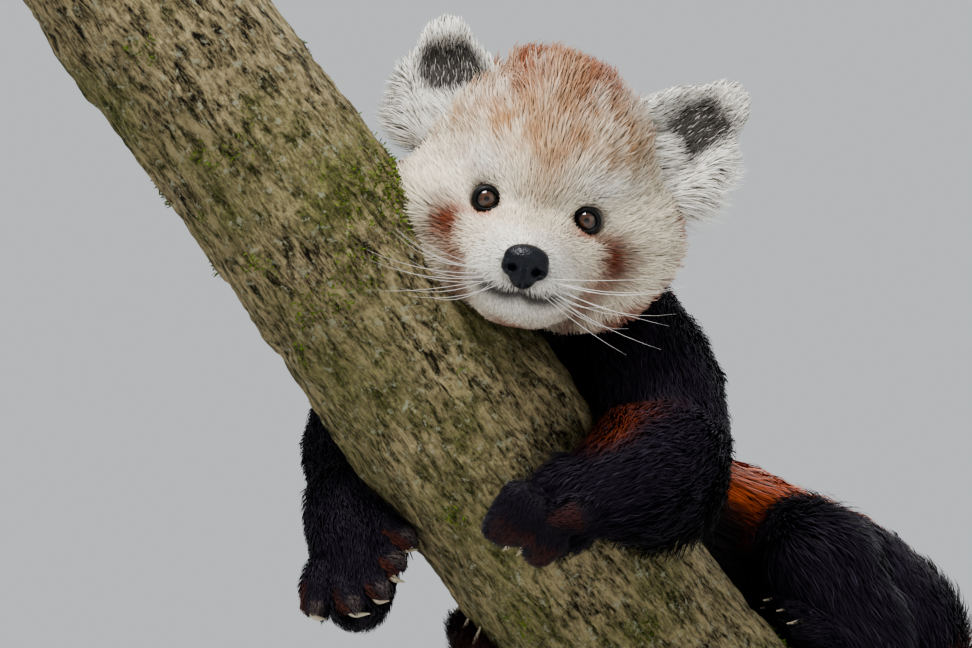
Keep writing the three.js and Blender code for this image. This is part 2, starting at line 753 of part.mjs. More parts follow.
for (const name of ['neck', 'arm_left_upper', 'arm_right_upper', 'arm_left_lower', 'arm_right_lower',
  'leg_left_upper', 'leg_right_upper', 'leg_left_lower', 'leg_right_lower',
  'tail_base', 'tail_middle', 'tail_tip']) {
  const dark = name.startsWith('arm') || name.startsWith('leg');
  node(name, dark ? 'dark' : 'rust', limbSolid(name), limbSolid(name, GAP));
}
for (const paw of Object.keys(PAWS)) {
  node(`paw_${paw}`, 'dark', pawSolid(paw), pawSolid(paw, GAP));
}

// Whether the boxes of two solids meet
function boxesMeet(a, b) {
  const p = a.boundingBox();
  const q = b.boundingBox();
  return [0, 1, 2].every((i) => p.min[i] < q.max[i] && q.min[i] < p.max[i]);
}

const group = new THREE.Group();
group.name = 'red_panda';
order.forEach((item, index) => {
  let body = item.body;
  for (const earlier of order.slice(0, index)) {
    if (boxesMeet(body, earlier.grown)) body = body.subtract(earlier.grown);
  }
  body = largest(body.simplify(0.1));
  const result = body.getMesh();
  const geometry = new THREE.BufferGeometry();
  const corners = [];
  for (let v = 0; v < result.numVert; v++) {
    for (let k = 0; k < 3; k++) corners.push(result.vertProperties[v * result.numProp + k]);
  }
  geometry.setAttribute('position', new THREE.Float32BufferAttribute(corners, 3));
  geometry.setIndex(Array.from(result.triVerts));
  geometry.computeVertexNormals();
  const [color, roughness, metalness] = FINISH[item.finish];
  const mesh = new THREE.Mesh(geometry, new THREE.MeshStandardMaterial({ color, roughness, metalness }));
  mesh.name = item.name;
  group.add(mesh);
});

export default group;
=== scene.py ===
import math
import bmesh
import bpy
import numpy as np
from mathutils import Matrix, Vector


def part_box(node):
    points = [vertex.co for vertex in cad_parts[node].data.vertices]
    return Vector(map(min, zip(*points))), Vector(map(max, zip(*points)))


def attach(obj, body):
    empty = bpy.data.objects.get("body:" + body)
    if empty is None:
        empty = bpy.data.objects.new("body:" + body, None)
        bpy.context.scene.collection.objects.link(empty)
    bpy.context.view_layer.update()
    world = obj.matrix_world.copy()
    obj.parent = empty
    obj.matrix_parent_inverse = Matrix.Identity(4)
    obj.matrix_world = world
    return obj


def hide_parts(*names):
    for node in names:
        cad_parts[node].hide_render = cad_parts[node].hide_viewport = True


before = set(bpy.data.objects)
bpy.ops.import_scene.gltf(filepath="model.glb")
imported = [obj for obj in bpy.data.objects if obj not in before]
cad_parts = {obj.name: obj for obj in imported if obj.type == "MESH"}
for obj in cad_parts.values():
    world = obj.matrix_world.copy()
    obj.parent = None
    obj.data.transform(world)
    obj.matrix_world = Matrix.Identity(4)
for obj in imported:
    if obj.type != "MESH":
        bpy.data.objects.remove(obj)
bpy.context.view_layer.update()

# Setting out
# The animal lies along a sloping branch, so each point is given by its distance
# down the branch, its angle from the top line and its distance from the axis, in mm.
MARK = np.array([-90.0, -75.0, 555.0])
MARK_STATION, BRANCH_LENGTH = 230, 630
TOP_RADIUS, FLARE = 44.5, 15
SLOPE, HEADING = math.radians(46.585), math.radians(30)
ALONG = np.array([math.cos(SLOPE) * math.cos(HEADING), math.cos(SLOPE) * math.sin(HEADING),
                  -math.sin(SLOPE)])
TOP = np.array([math.sin(SLOPE) * math.cos(HEADING), math.sin(SLOPE) * math.sin(HEADING), math.cos(SLOPE)])
FAR = np.array([-math.sin(HEADING), math.cos(HEADING), 0.0])


def outward(around):
    turn = math.radians(around)
    return TOP * math.cos(turn) + FAR * math.sin(turn)


def at(station, around, out):
    return MARK + ALONG * (station - MARK_STATION) + outward(around) * out


def from_mark(x, y, z):
    return MARK + np.array([x, y, z], float)


# Head frame: x to the animal's left, y back, z up, from midway between the eyes
TIP, ROLL = math.radians(10), math.radians(12.2)
LOOK_BACK = np.array([0, math.cos(TIP), math.sin(TIP)])
LOOK_UP = np.array([0, -math.sin(TIP), math.cos(TIP)])
HEAD_AXES = np.array([
    np.array([math.cos(ROLL), 0, 0]) - LOOK_UP * math.sin(ROLL),
    LOOK_BACK,
    np.array([math.sin(ROLL), 0, 0]) + LOOK_UP * math.cos(ROLL)])
HEAD_ORIGIN = MARK + np.array([62.7, -58.1, 41.4])


def from_head(points):
    return np.asarray(points, float) @ HEAD_AXES + HEAD_ORIGIN


def to_head(points):
    return (points - HEAD_ORIGIN) @ HEAD_AXES.T


# Camera
# It stands where the photograph was taken from: low and in front, looking up ten degrees.
# A picture 972 wide takes in 0.46 mm for each of its steps at the head, 1.9 m away.
VIEW_DISTANCE, MM_PER_STEP, PICTURE_WIDTH = 1900, 0.46, 972
view_middle = MARK + np.array([40.1, 0, 0])
camera_data = bpy.data.cameras.new("camera")
camera_data.sensor_width = 36
camera_data.lens = camera_data.sensor_width * VIEW_DISTANCE / (PICTURE_WIDTH * MM_PER_STEP)
camera = bpy.data.objects.new("camera", camera_data)
bpy.context.scene.collection.objects.link(camera)
camera.location = (view_middle - LOOK_BACK * VIEW_DISTANCE) / 1000
camera.rotation_euler = (math.radians(90) + TIP, 0, 0)
bpy.context.scene.camera = camera


# Skin
# One hide over the head, trunk, limbs and tail, which the fur grows from.
# It is swept from the stations of the solids, less the depth of the coat, then fused and smoothed.
def colour(code):
    parts = [int(code[i:i + 2], 16) / 255 for i in (1, 3, 5)]
    return [c / 12.92 if c <= 0.04045 else ((c + 0.055) / 1.055) ** 2.4 for c in parts]


def lattice(cells, seed):
    # Seeded number from 0 to 1 for each cell of a cubic grid
    cells = cells.astype(np.int64)
    mixed = cells[:, 0] * 73856093 ^ cells[:, 1] * 19349663 ^ cells[:, 2] * 83492791 ^ (seed * 2654435761)
    mixed = (mixed ^ (mixed >> 13)) * 1274126177 & 0x7FFFFFFF
    return ((mixed ^ (mixed >> 16)) & 0xFFFF) / 65535.0


def cloudy(points, size, seed=0):
    # Soft seeded clouds about size mm across, from 0 to 1
    scaled = np.asarray(points) / size
    low = np.floor(scaled)
    part = scaled - low
    part = part * part * (3 - 2 * part)
    total = np.zeros(len(scaled))
    for corner in range(8):
        step = np.array([corner & 1, corner >> 1 & 1, corner >> 2 & 1])
        share = np.prod(np.where(step, part, 1 - part), axis=1)
        total += share * lattice(low + step, seed)
    return total


def smooth_step(low, high, value):
    part = np.clip((value - low) / (high - low), 0, 1)
    return part * part * (3 - 2 * part)


class Sweep:
    # Rounded body along stations of centre, half width and half height
    def __init__(self, stations, up, depth=0.0, dome=1.0):
        self.key = np.array([list(s[0]) + [s[1], s[2]] for s in stations], float)
        self.up = np.asarray(up, float)
        self.depth = depth
        self.dome = dome

    def value(self, t):
        t = np.atleast_1d(np.asarray(t, float))
        k = self.key
        padded = np.vstack([2 * k[0] - k[1], k, 2 * k[-1] - k[-2]])
        padded[0, 3:], padded[-1, 3:] = k[0, 3:], k[-1, 3:]
        place = t * (len(k) - 1)
        low = np.minimum(place.astype(int), len(k) - 2)
        u = (place - low)[:, None]
        a, b, c, d = (padded[low + i] for i in range(4))
        return 0.5 * (2 * b + (c - a) * u + (2 * a - 5 * b + 4 * c - d) * u ** 2
                      + (3 * b - a - 3 * c + d) * u ** 3)

    def frames(self, t):
        t = np.atleast_1d(np.asarray(t, float))
        v = self.value(t)
        ahead = self.value(np.minimum(t + 0.01, 1))[:, :3] - self.value(np.maximum(t - 0.01, 0))[:, :3]
        ahead /= np.linalg.norm(ahead, axis=1)[:, None]
        side = np.cross(ahead, self.up)
        side /= np.linalg.norm(side, axis=1)[:, None]
        return v, ahead, side, np.cross(side, ahead)

    def mesh(self, rings=24, sides=28):
        cap = np.sin(np.linspace(0, math.pi / 2, 7)[1:-1])
        t = np.concatenate([np.zeros(5), np.linspace(0, 1, rings + 1), np.ones(5)])
        scale = np.concatenate([cap, np.ones(rings + 1), cap[::-1]])
        shift = np.concatenate([-np.sqrt(1 - cap ** 2), np.zeros(rings + 1), np.sqrt(1 - cap[::-1] ** 2)])
        v, ahead, side, top = self.frames(t)
        w, h = v[:, 3] - self.depth, v[:, 4] - self.depth
        shift = shift * (w + h) / 2 * self.dome
        turn = np.arange(sides) * 2 * math.pi / sides
        middle = v[:, :3] + ahead * shift[:, None]
        ring = (middle[:, None] + side[:, None] * (w * scale)[:, None, None] * np.cos(turn)[None, :, None]
                + top[:, None] * (h * scale)[:, None, None] * np.sin(turn)[None, :, None])
        verts = ring.reshape(-1, 3)
        poles = [v[0, :3] - ahead[0] * (w[0] + h[0]) / 2 * self.dome,
                 v[-1, :3] + ahead[-1] * (w[-1] + h[-1]) / 2 * self.dome]
        verts = np.vstack([verts, poles])
        faces = []
        for i in range(len(t) - 1):
            for j in range(sides):
                k = (j + 1) % sides
                faces.append((i * sides + j, (i + 1) * sides + j, (i + 1) * sides + k, i * sides + k))
        first, last = len(verts) - 2, len(verts) - 1
        for j in range(sides):
            k = (j + 1) % sides
            faces.append((first, j, k))
            faces.append((last, (len(t) - 1) * sides + k, (len(t) - 1) * sides + j))
        return verts, faces


# Stations of centre, half width and half height of each length, its upper side, and the coat's depth
limbs = {
    "neck": Sweep([(from_head([0, 50, -6]), 50, 48), (from_mark(56, 44, 40), 55, 52),
                   (at(284, 27, 98), 58, 55)], (0, 0, 1), 10),
    "torso": Sweep([(at(270, 27, 98), 48, 46), (at(298, 29, 102), 60, 57), (at(345, 37, 99), 60, 56),
                    (at(396, 42, 98), 58, 54), (at(450, 36, 104), 63, 61), (at(492, 28, 110), 67, 64),
                    (at(528, 26, 109), 62, 61), (at(548, 26, 106), 50, 51)], outward(32), 9),
    "arm_left_upper": Sweep([(at(297, 5.5, 93), 34, 34), (at(323, -23, 75), 35, 35),
                             (at(346, -58, 70), 32, 32)], outward(-20), 6),
    "arm_left_lower": Sweep([(at(347, -61, 71), 33, 33), (at(336, -86, 78), 29, 28),
                             (at(328, -102, 75), 22, 19)], outward(-75), 6, 0.3),
    "arm_right_upper": Sweep([(at(304, 48, 106), 38, 38), (at(286, 66, 102), 34, 34),
                              (at(271, 81, 94), 29, 29)], outward(70), 6),
    "arm_right_lower": Sweep([(at(271, 81, 93), 28, 28), (at(277, 104, 80), 25, 25),
                              (at(285, 132, 69), 23, 23)], outward(115), 5, 0.5),
    "leg_left_upper": Sweep([(at(516, 8, 112), 46, 46), (at(486, 5, 106), 43, 42),
                             (at(457, 1, 98), 34, 34)], outward(0), 8),
    "leg_left_lower": Sweep([(at(455, -7, 93), 30, 30), (at(486, -14, 87), 26, 26),
                             (at(513, -14, 82), 20, 20)], outward(-10), 5),
    "leg_right_upper": Sweep([(at(534, 46, 115), 46, 46), (at(498, 56, 118), 43, 43),
                              (at(468, 66, 117), 34, 34)], outward(55), 8),
    "leg_right_lower": Sweep([(at(467, 70, 115), 30, 30), (at(474, 89, 105), 26, 26),
                              (at(478, 106, 94), 21, 21)], outward(90), 5),
    "tail_base": Sweep([(at(552, 27, 102), 34, 34), (from_mark(250, 200, -202), 38, 38),
                        (from_mark(276, 217, -240), 42, 42), (from_mark(286, 222, -282), 44, 44)],
                       (0, 1, 0), 15),
    "tail_middle": Sweep([(from_mark(286, 222, -284), 44, 44), (from_mark(284, 220, -325), 45, 45),
                          (from_mark(276, 214, -370), 44, 44)], (0, 1, 0), 17),
    "tail_tip": Sweep([(from_mark(276, 214, -372), 43, 43), (from_mark(268, 209, -412), 39, 39),
                       (from_mark(264, 207, -446), 29, 29), (from_mark(264, 208, -474), 14, 14)],
                      (0, 1, 0), 12),
}

# Feet: stations of the palm, its upper side, and root, end and claw point of each toe
paws = {
    "left_front": ([(at(328, -101, 74), 22, 19), (at(327, -112, 71), 22, 15), (at(325, -120, 70), 19, 12)],
                   outward(-112),
                   [[(309, -122, 80), (316.5, -135, 73), (325, -144, 62)],
                    [(313.5, -121.8, 81), (321, -133, 75), (330.5, -142.5, 62)],
                    [(318, -119.8, 83), (324.5, -128.5, 76.5), (335.5, -138.5, 63)],
                    [(328.5, -118.5, 82), (335.5, -127, 75), (343, -135.5, 63)],
                    [(332, -108, 84), (328, -114.7, 84), (335, -120, 75)]]),
    "right_front": ([(at(289, 139, 72), 30, 25), (at(302, 152, 80), 35, 25), (at(311, 157, 87), 33, 22)],
                    outward(175),
                    [[(295, 163, 64), (306, 172, 62), (315, 171, 60)],
                     [(299, 164, 75), (310, 175, 75), (321, 174, 76)],
                     [(303, 165, 83), (315, 174, 88), (322, 175, 88)],
                     [(301, 164, 92), (312, 171, 101), (321, 173, 98)],
                     [(297, 160, 98), (304, 164, 111), (313, 165, 112)]]),
    "left_hind": ([(at(518, -13, 80), 18, 17), (at(500, -14, 76), 19, 15), (at(478, -13, 73), 20, 13)],
                  outward(-13),
                  [[(480, -13 + i * 6, 71), (458 + abs(i) * 5, -14 + i * 9, 66),
                    (447 + abs(i) * 5, -14 + i * 9.5, 58.5)] for i in (-2, -1, 0, 1, 2)]),
    "right_hind": ([(at(474, 112, 89), 20, 18), (at(440, 126, 80), 20, 16), (at(400, 134, 73), 22, 13)],
                   outward(125),
                   [[(398, 135 + i * 7, 71), (368 + abs(i) * 5, 141 + i * 9.5, 65),
                     (355 + abs(i) * 5, 142 + i * 10, 57)] for i in (-2, -1, 0, 1, 2)]),
}
for paw, (palm, up, toes) in paws.items():
    dome = {"right_front": 0.9}.get(paw, 0.35)
    limbs[f"palm_{paw}"] = Sweep(palm, up, {"right_front": 5.5, "left_front": 4.5}.get(paw, 3.5), dome)
    for digit, (root, end, point) in enumerate(toes):
        root, end = at(*root), at(*end)
        middle = (root + end) / 2 + up * 1.5
        plump = 9.4 if paw == "left_front" and digit > 2 else 7.8
        limbs[f"toe_{paw}_{digit + 1}"] = Sweep([(root, plump, plump), (middle, plump, plump),
                                                 (end, plump - 1.1, plump - 1.1)], up, 0.6)

# Head from centres and half sizes of its lumps: skull, cheeks, brow, muzzle and chin, in its own frame
HEAD_LUMPS = np.array([
    [0, 42, 20, 50, 52, 47], [0, 40, 40, 30, 34, 28], [-34, 33, -6, 31, 32, 28], [34, 33, -6, 31, 32, 28],
    [-24, 30, -24, 30, 30, 24], [24, 30, -24, 30, 30, 24], [0, 9, 20, 33, 24, 26], [0, 2, -22, 34, 22, 21],
    [0, -6, -25, 27, 24, 18], [0, -14, -26, 20, 27, 15.5], [0, -27, -26, 15, 16, 12.5],
    [-10, -22, -31, 12, 14, 10], [10, -22, -31, 12, 14, 10], [0, -4, -38, 20, 26, 13]], float)


def head_field(points):
    gap = (points[:, None, :] - HEAD_LUMPS[None, :, :3]) / HEAD_LUMPS[None, :, 3:]
    far = np.maximum(np.linalg.norm(gap, axis=2), 0.05)
    return np.sum(far ** -6.5, axis=1) ** (-1 / 6.5)


def face_depth(x, z):
    # How far forward the bare head reaches at each x and z
    x, z = np.atleast_1d(x).astype(float), np.atleast_1d(z).astype(float)
    outside, inside = np.full(len(x), -80.0), np.full(len(x), 30.0)
    for _ in range(30):
        y = (outside + inside) / 2
        free = head_field(np.stack([x, y, z], 1)) > 1
        outside, inside = np.where(free, y, outside), np.where(free, inside, y)
    return outside


EYE_X, EYE_RADIUS = 22.8, 8.0
EYE_Y = float(face_depth(EYE_X, 0)[0]) + math.sqrt(EYE_RADIUS ** 2 - 4.7 ** 2)


def head_coat_depth(local):
    # Short on the muzzle and round the eyes, deep on the cheeks and crown
    from_nose = np.linalg.norm((local - [0, -35, -28]) / [1, 1.2, 1], axis=1)
    return 1.2 + 5.5 * smooth_step(32, 85, from_nose)


def head_mesh():
    bm = bmesh.new()
    bmesh.ops.create_icosphere(bm, subdivisions=6, radius=1)
    ray = np.array([v.co for v in bm.verts])
    faces = [[v.index for v in f.verts] for f in bm.faces]
    bm.free()
    core = np.array([0, 24, -4.0])
    low, high = np.full(len(ray), 5.0), np.full(len(ray), 140.0)
    for _ in range(26):
        r = (low + high) / 2
        within = head_field(core + ray * r[:, None]) < 1
        low, high = np.where(within, r, low), np.where(within, high, r)
    surface = core + ray * low[:, None]
    surface -= ray * head_coat_depth(surface)[:, None]
    # Line of the mouth, the cleft under the nose, and a shallow socket round each eye
    x, y, z = surface.T
    front = smooth_step(10, -6, y)
    line = np.interp(np.abs(x), [0, 5, 10, 15, 19.5, 24], [-39.5, -41, -40.5, -38.5, -36.5, -36])
    mouth = np.exp(-((z - line) / 1.7) ** 2) * smooth_step(23, 17, np.abs(x)) * front
    lip = np.exp(-((z - line - 4.5) / 3) ** 2) * smooth_step(23, 13, np.abs(x)) * front
    cleft = np.exp(-(x / 1.4) ** 2) * smooth_step(-42, -39, z) * smooth_step(-31, -35, z) * front
    surface += ray * (1.2 * lip - 2.6 * mouth - 1.6 * cleft)[:, None]
    for side in (-1, 1):
        ring = np.hypot(x - side * EYE_X, z)
        dip = np.exp(-(ring / 6.5) ** 2) * (y < 30)
        swell = np.exp(-((ring - 8.5) / 2.6) ** 2) * (y < 30)
        surface += ray * (0.5 * swell - 5.5 * dip)[:, None]
    return from_head(surface), faces


EARS = {"left": [(46, 43, 34), (62, 43, 52), (76, 43, 67)],
        "right": [(-44, 43, 34), (-52, 43, 54), (-57, 43, 70)]}
ear_front = -HEAD_AXES[1]


def ear_sweep(side):
    root, middle, end = (from_head([p])[0] for p in EARS[side])
    return Sweep([(root, 26, 8.5), (middle, 23, 7), (end, 12, 4.2)], ear_front, 1.5)


def ear_mesh(side):
    # Leaf whose front face is pressed back into a cup
    verts, faces = ear_sweep(side).mesh(rings=30, sides=48)
    local = to_head(verts)
    path = to_head(ear_sweep(side).value(np.linspace(0, 1, 40))[:, :3])
    gap = np.linalg.norm(local[:, None, (0, 2)] - path[None, :, (0, 2)], axis=2)
    near = gap.argmin(axis=1)
    width = ear_sweep(side).value(near / 39.0)[:, 3]
    across = gap.min(axis=1) / width
    front = local[:, 1] < path[near, 1] + 0.5
    cup = smooth_step(0.92, 0.4, across) * front * smooth_step(1.02, 0.8, near / 39.0)
    thick = ear_sweep(side).value(near / 39.0)[:, 4]
    local[:, 1] += 1.15 * thick * cup
    back = ~front
    local[:, 1] += np.where(back, 3.5 * smooth_step(0.9, 0.3, across), 0)
    return from_head(local), faces


def make_object(name, verts, faces, smooth=True):
    mesh = bpy.data.meshes.new(name)
    mesh.from_pydata((np.asarray(verts) / 1000).tolist(), [], [list(f) for f in faces])
    mesh.polygons.foreach_set("use_smooth", [smooth] * len(mesh.polygons))
    piece = bpy.data.objects.new(name, mesh)
    bpy.context.scene.collection.objects.link(piece)
    return piece


def apply_modifiers(piece):
    graph = bpy.context.evaluated_depsgraph_get()
    done = bpy.data.meshes.new_from_object(piece.evaluated_get(graph))
    old = piece.data
    piece.modifiers.clear()
    piece.data = done
    bpy.data.meshes.remove(old)


all_verts, all_faces, count = [], [], 0
sources = [limb.mesh() for limb in limbs.values()] + [head_mesh(), ear_mesh("left"), ear_mesh("right")]
for verts, faces in sources:
    all_verts.append(verts)
    all_faces += [[i + count for i in f] for f in faces]
    count += len(verts)
skin = make_object("skin", np.vstack(all_verts), all_faces)
remesh = skin.modifiers.new("fuse", "REMESH")
remesh.mode = "VOXEL"
remesh.voxel_size = 1.8 / 1000
remesh.use_smooth_shade = True
smoothing = skin.modifiers.new("smooth", "SMOOTH")
smoothing.factor = 0.5
smoothing.iterations = 5
apply_modifiers(skin)
skin_verts = np.empty(len(skin.data.vertices) * 3)
skin.data.vertices.foreach_get("co", skin_verts)
skin_verts = skin_verts.reshape(-1, 3) * 1000

region_names = list(limbs) + ["ear_left", "ear_right"]
region_sweeps = list(limbs.values()) + [ear_sweep("left"), ear_sweep("right")]
HEAD_REGION = len(region_names)
sample_at, sample_radius, sample_region, sample_t, sample_ahead = [], [], [], [], []
for index, sweep in enumerate(region_sweeps):
    steps = 5 if region_names[index].startswith("toe") else 17
    t = np.linspace(0, 1, steps)
    v, ahead, side, top = sweep.frames(t)
    sample_at.append(v[:, :3])
    sample_radius.append(v[:, 3] - sweep.depth)
    sample_region.append(np.full(steps, index))
    sample_t.append(t)
    sample_ahead.append(ahead)
sample_at, sample_radius = np.vstack(sample_at), np.concatenate(sample_radius)
sample_region, sample_t = np.concatenate(sample_region), np.concatenate(sample_t)
sample_ahead = np.vstack(sample_ahead)
limb_is_dark = np.array([n.startswith(("arm", "leg", "palm", "toe")) for n in region_names])


def regions_of(points):
    # Which part of the body each point of the skin is on, how far along it, which way it runs,
    # and how much nearer it is to the dark limbs than to the rust trunk
    region, t = np.empty(len(points), int), np.empty(len(points))
    ahead, dark_lead = np.empty((len(points), 3)), np.empty(len(points))
    dark_sample = limb_is_dark[sample_region]
    for start in range(0, len(points), 20000):
        block = points[start:start + 20000]
        gap = np.linalg.norm(block[:, None] - sample_at[None], axis=2) / sample_radius[None]
        best = gap.argmin(axis=1)
        head_gap = head_field(to_head(block))
        on_head = head_gap < np.minimum(gap.min(axis=1) * 1.02, 1.06)
        region[start:start + 20000] = np.where(on_head, HEAD_REGION, sample_region[best])
        t[start:start + 20000] = sample_t[best]
        ahead[start:start + 20000] = sample_ahead[best]
        dark_lead[start:start + 20000] = gap[:, ~dark_sample].min(axis=1) - gap[:, dark_sample].min(axis=1)
    return region, t, ahead, dark_lead


def ear_place(side, local):
    # How far up the ear a point is, how far out towards its edge, and whether it is on the outer edge
    spine = to_head(ear_sweep(side).value(np.linspace(0, 1, 40))[:, :3])
    gap = np.linalg.norm(local[:, None, (0, 2)] - spine[None, :, (0, 2)], axis=2)
    near = gap.argmin(axis=1)
    across = gap.min(axis=1) / ear_sweep(side).value(near / 39.0)[:, 3]
    outer = np.sign(spine[-1, 0]) * (local[:, 0] - spine[near, 0]) > 0
    return near / 39.0, across, outer, local[:, 1] < spine[near, 1] + 7


def blend(base, other, share):
    return base * (1 - share[:, None]) + np.array(colour(other))[None] * share[:, None]


def head_colour(local):
    # Cream face with white brows, cheeks and muzzle, rust under the eyes, rust crown and nape
    x, y, z = local.T
    side = np.abs(x)
    rough = cloudy(local, 7, 3) - 0.5
    fleck = cloudy(local * [1, 1, 0.45], 4, 8) - 0.5
    result = np.tile(colour("#E2D6C0"), (len(local), 1))
    forehead = smooth_step(4, 26, z + 9 * rough) * smooth_step(56, 32, side)
    result = blend(result, "#A98158", np.clip(forehead * (0.6 + 1.3 * fleck), 0, 1))
    crown = smooth_step(30, 58, z + 18 * rough) * smooth_step(42, 14, side)
    result = blend(result, "#84431F", np.clip(crown * (0.85 + 0.9 * fleck), 0, 1))
    streak = np.exp(-((x - 4) / 7) ** 2) * smooth_step(4, 22, z) * smooth_step(62, 34, z) * (y < 30)
    result = blend(result, "#94592F", np.clip(streak * (0.5 + 1.2 * fleck), 0, 1))
    bridge = np.exp(-(x / 8) ** 2) * smooth_step(-18, 6, z) * (y < 20)
    result = blend(result, "#AE8C66", 0.5 * bridge)
    brow = np.exp(-(((side - 25) / 11) ** 2 + ((z - 14) / 6) ** 2))
    result = blend(result, "#F6F0E4", 0.85 * brow)
    muzzle = smooth_step(30, 14, np.hypot(side, (z + 30) * 1.3)) * (y < 8)
    result = blend(result, "#F3EEE4", 0.85 * muzzle)
    patch = np.exp(-(((side - 33.5 - 4 * rough) / 6.8) ** 2 + ((z + 15) / 10.5) ** 2) ** 1.4)
    result = blend(result, "#692A10", 0.97 * patch)
    stripe_x = np.interp(z, [-42, -30, -20], [24, 28, 31])
    stripe = np.exp(-((side - stripe_x - 5 * rough) / 4.6) ** 2) * smooth_step(-19, -26, z) * (y < 35)
    result = blend(result, "#74371C", 0.75 * stripe)
    jowl = smooth_step(-20, -34, z + 8 * rough) * smooth_step(28, 38, side) * smooth_step(2, 16, y)
    result = blend(result, "#8A3C1C", 0.85 * jowl)
    under = np.exp(-((side - 22) / 7) ** 2 - ((z + 8.2) / 2.4) ** 2) * (y < 30)
    result = blend(result, "#A45A3C", 0.85 * under)
    corner = np.exp(-(np.hypot(side - 15.5, z + 3.2) / 2.6) ** 2) * (y < 20)
    result = blend(result, "#6B4230", 0.7 * corner)
    chin = smooth_step(-46, -52, z + 2 * rough)
    result = blend(result, "#8E4423", 0.9 * chin * smooth_step(26, 14, side))
    line = np.interp(side, [0, 5, 10, 15, 19.5, 24], [-39.5, -41, -40.5, -38.5, -36.5, -36])
    mouth = np.exp(-((z - line - 2.6) / 3.1) ** 2) * smooth_step(24, 13, side) * (y < 0)
    result = blend(result, "#1F1C1D", 0.93 * mouth)
    back_from = np.interp(side, [0, 40, 54, 64], [38, 32, 20, 6])
    nape = smooth_step(0, 13, y + 8 * rough - back_from)
    result = blend(result, "#9A4820", 0.95 * nape)
    throat = smooth_step(-44, -56, z - 0.35 * (y - 20)) * smooth_step(8, 24, y) * smooth_step(66, 48, y)
    result = blend(result, "#241A18", 0.95 * throat)
    eye_ring = np.exp(-((np.hypot(side - EYE_X, z) - 6.5) / 1.6) ** 2) * (y < 30)
    return blend(result, "#5A4A42", 0.6 * eye_ring)


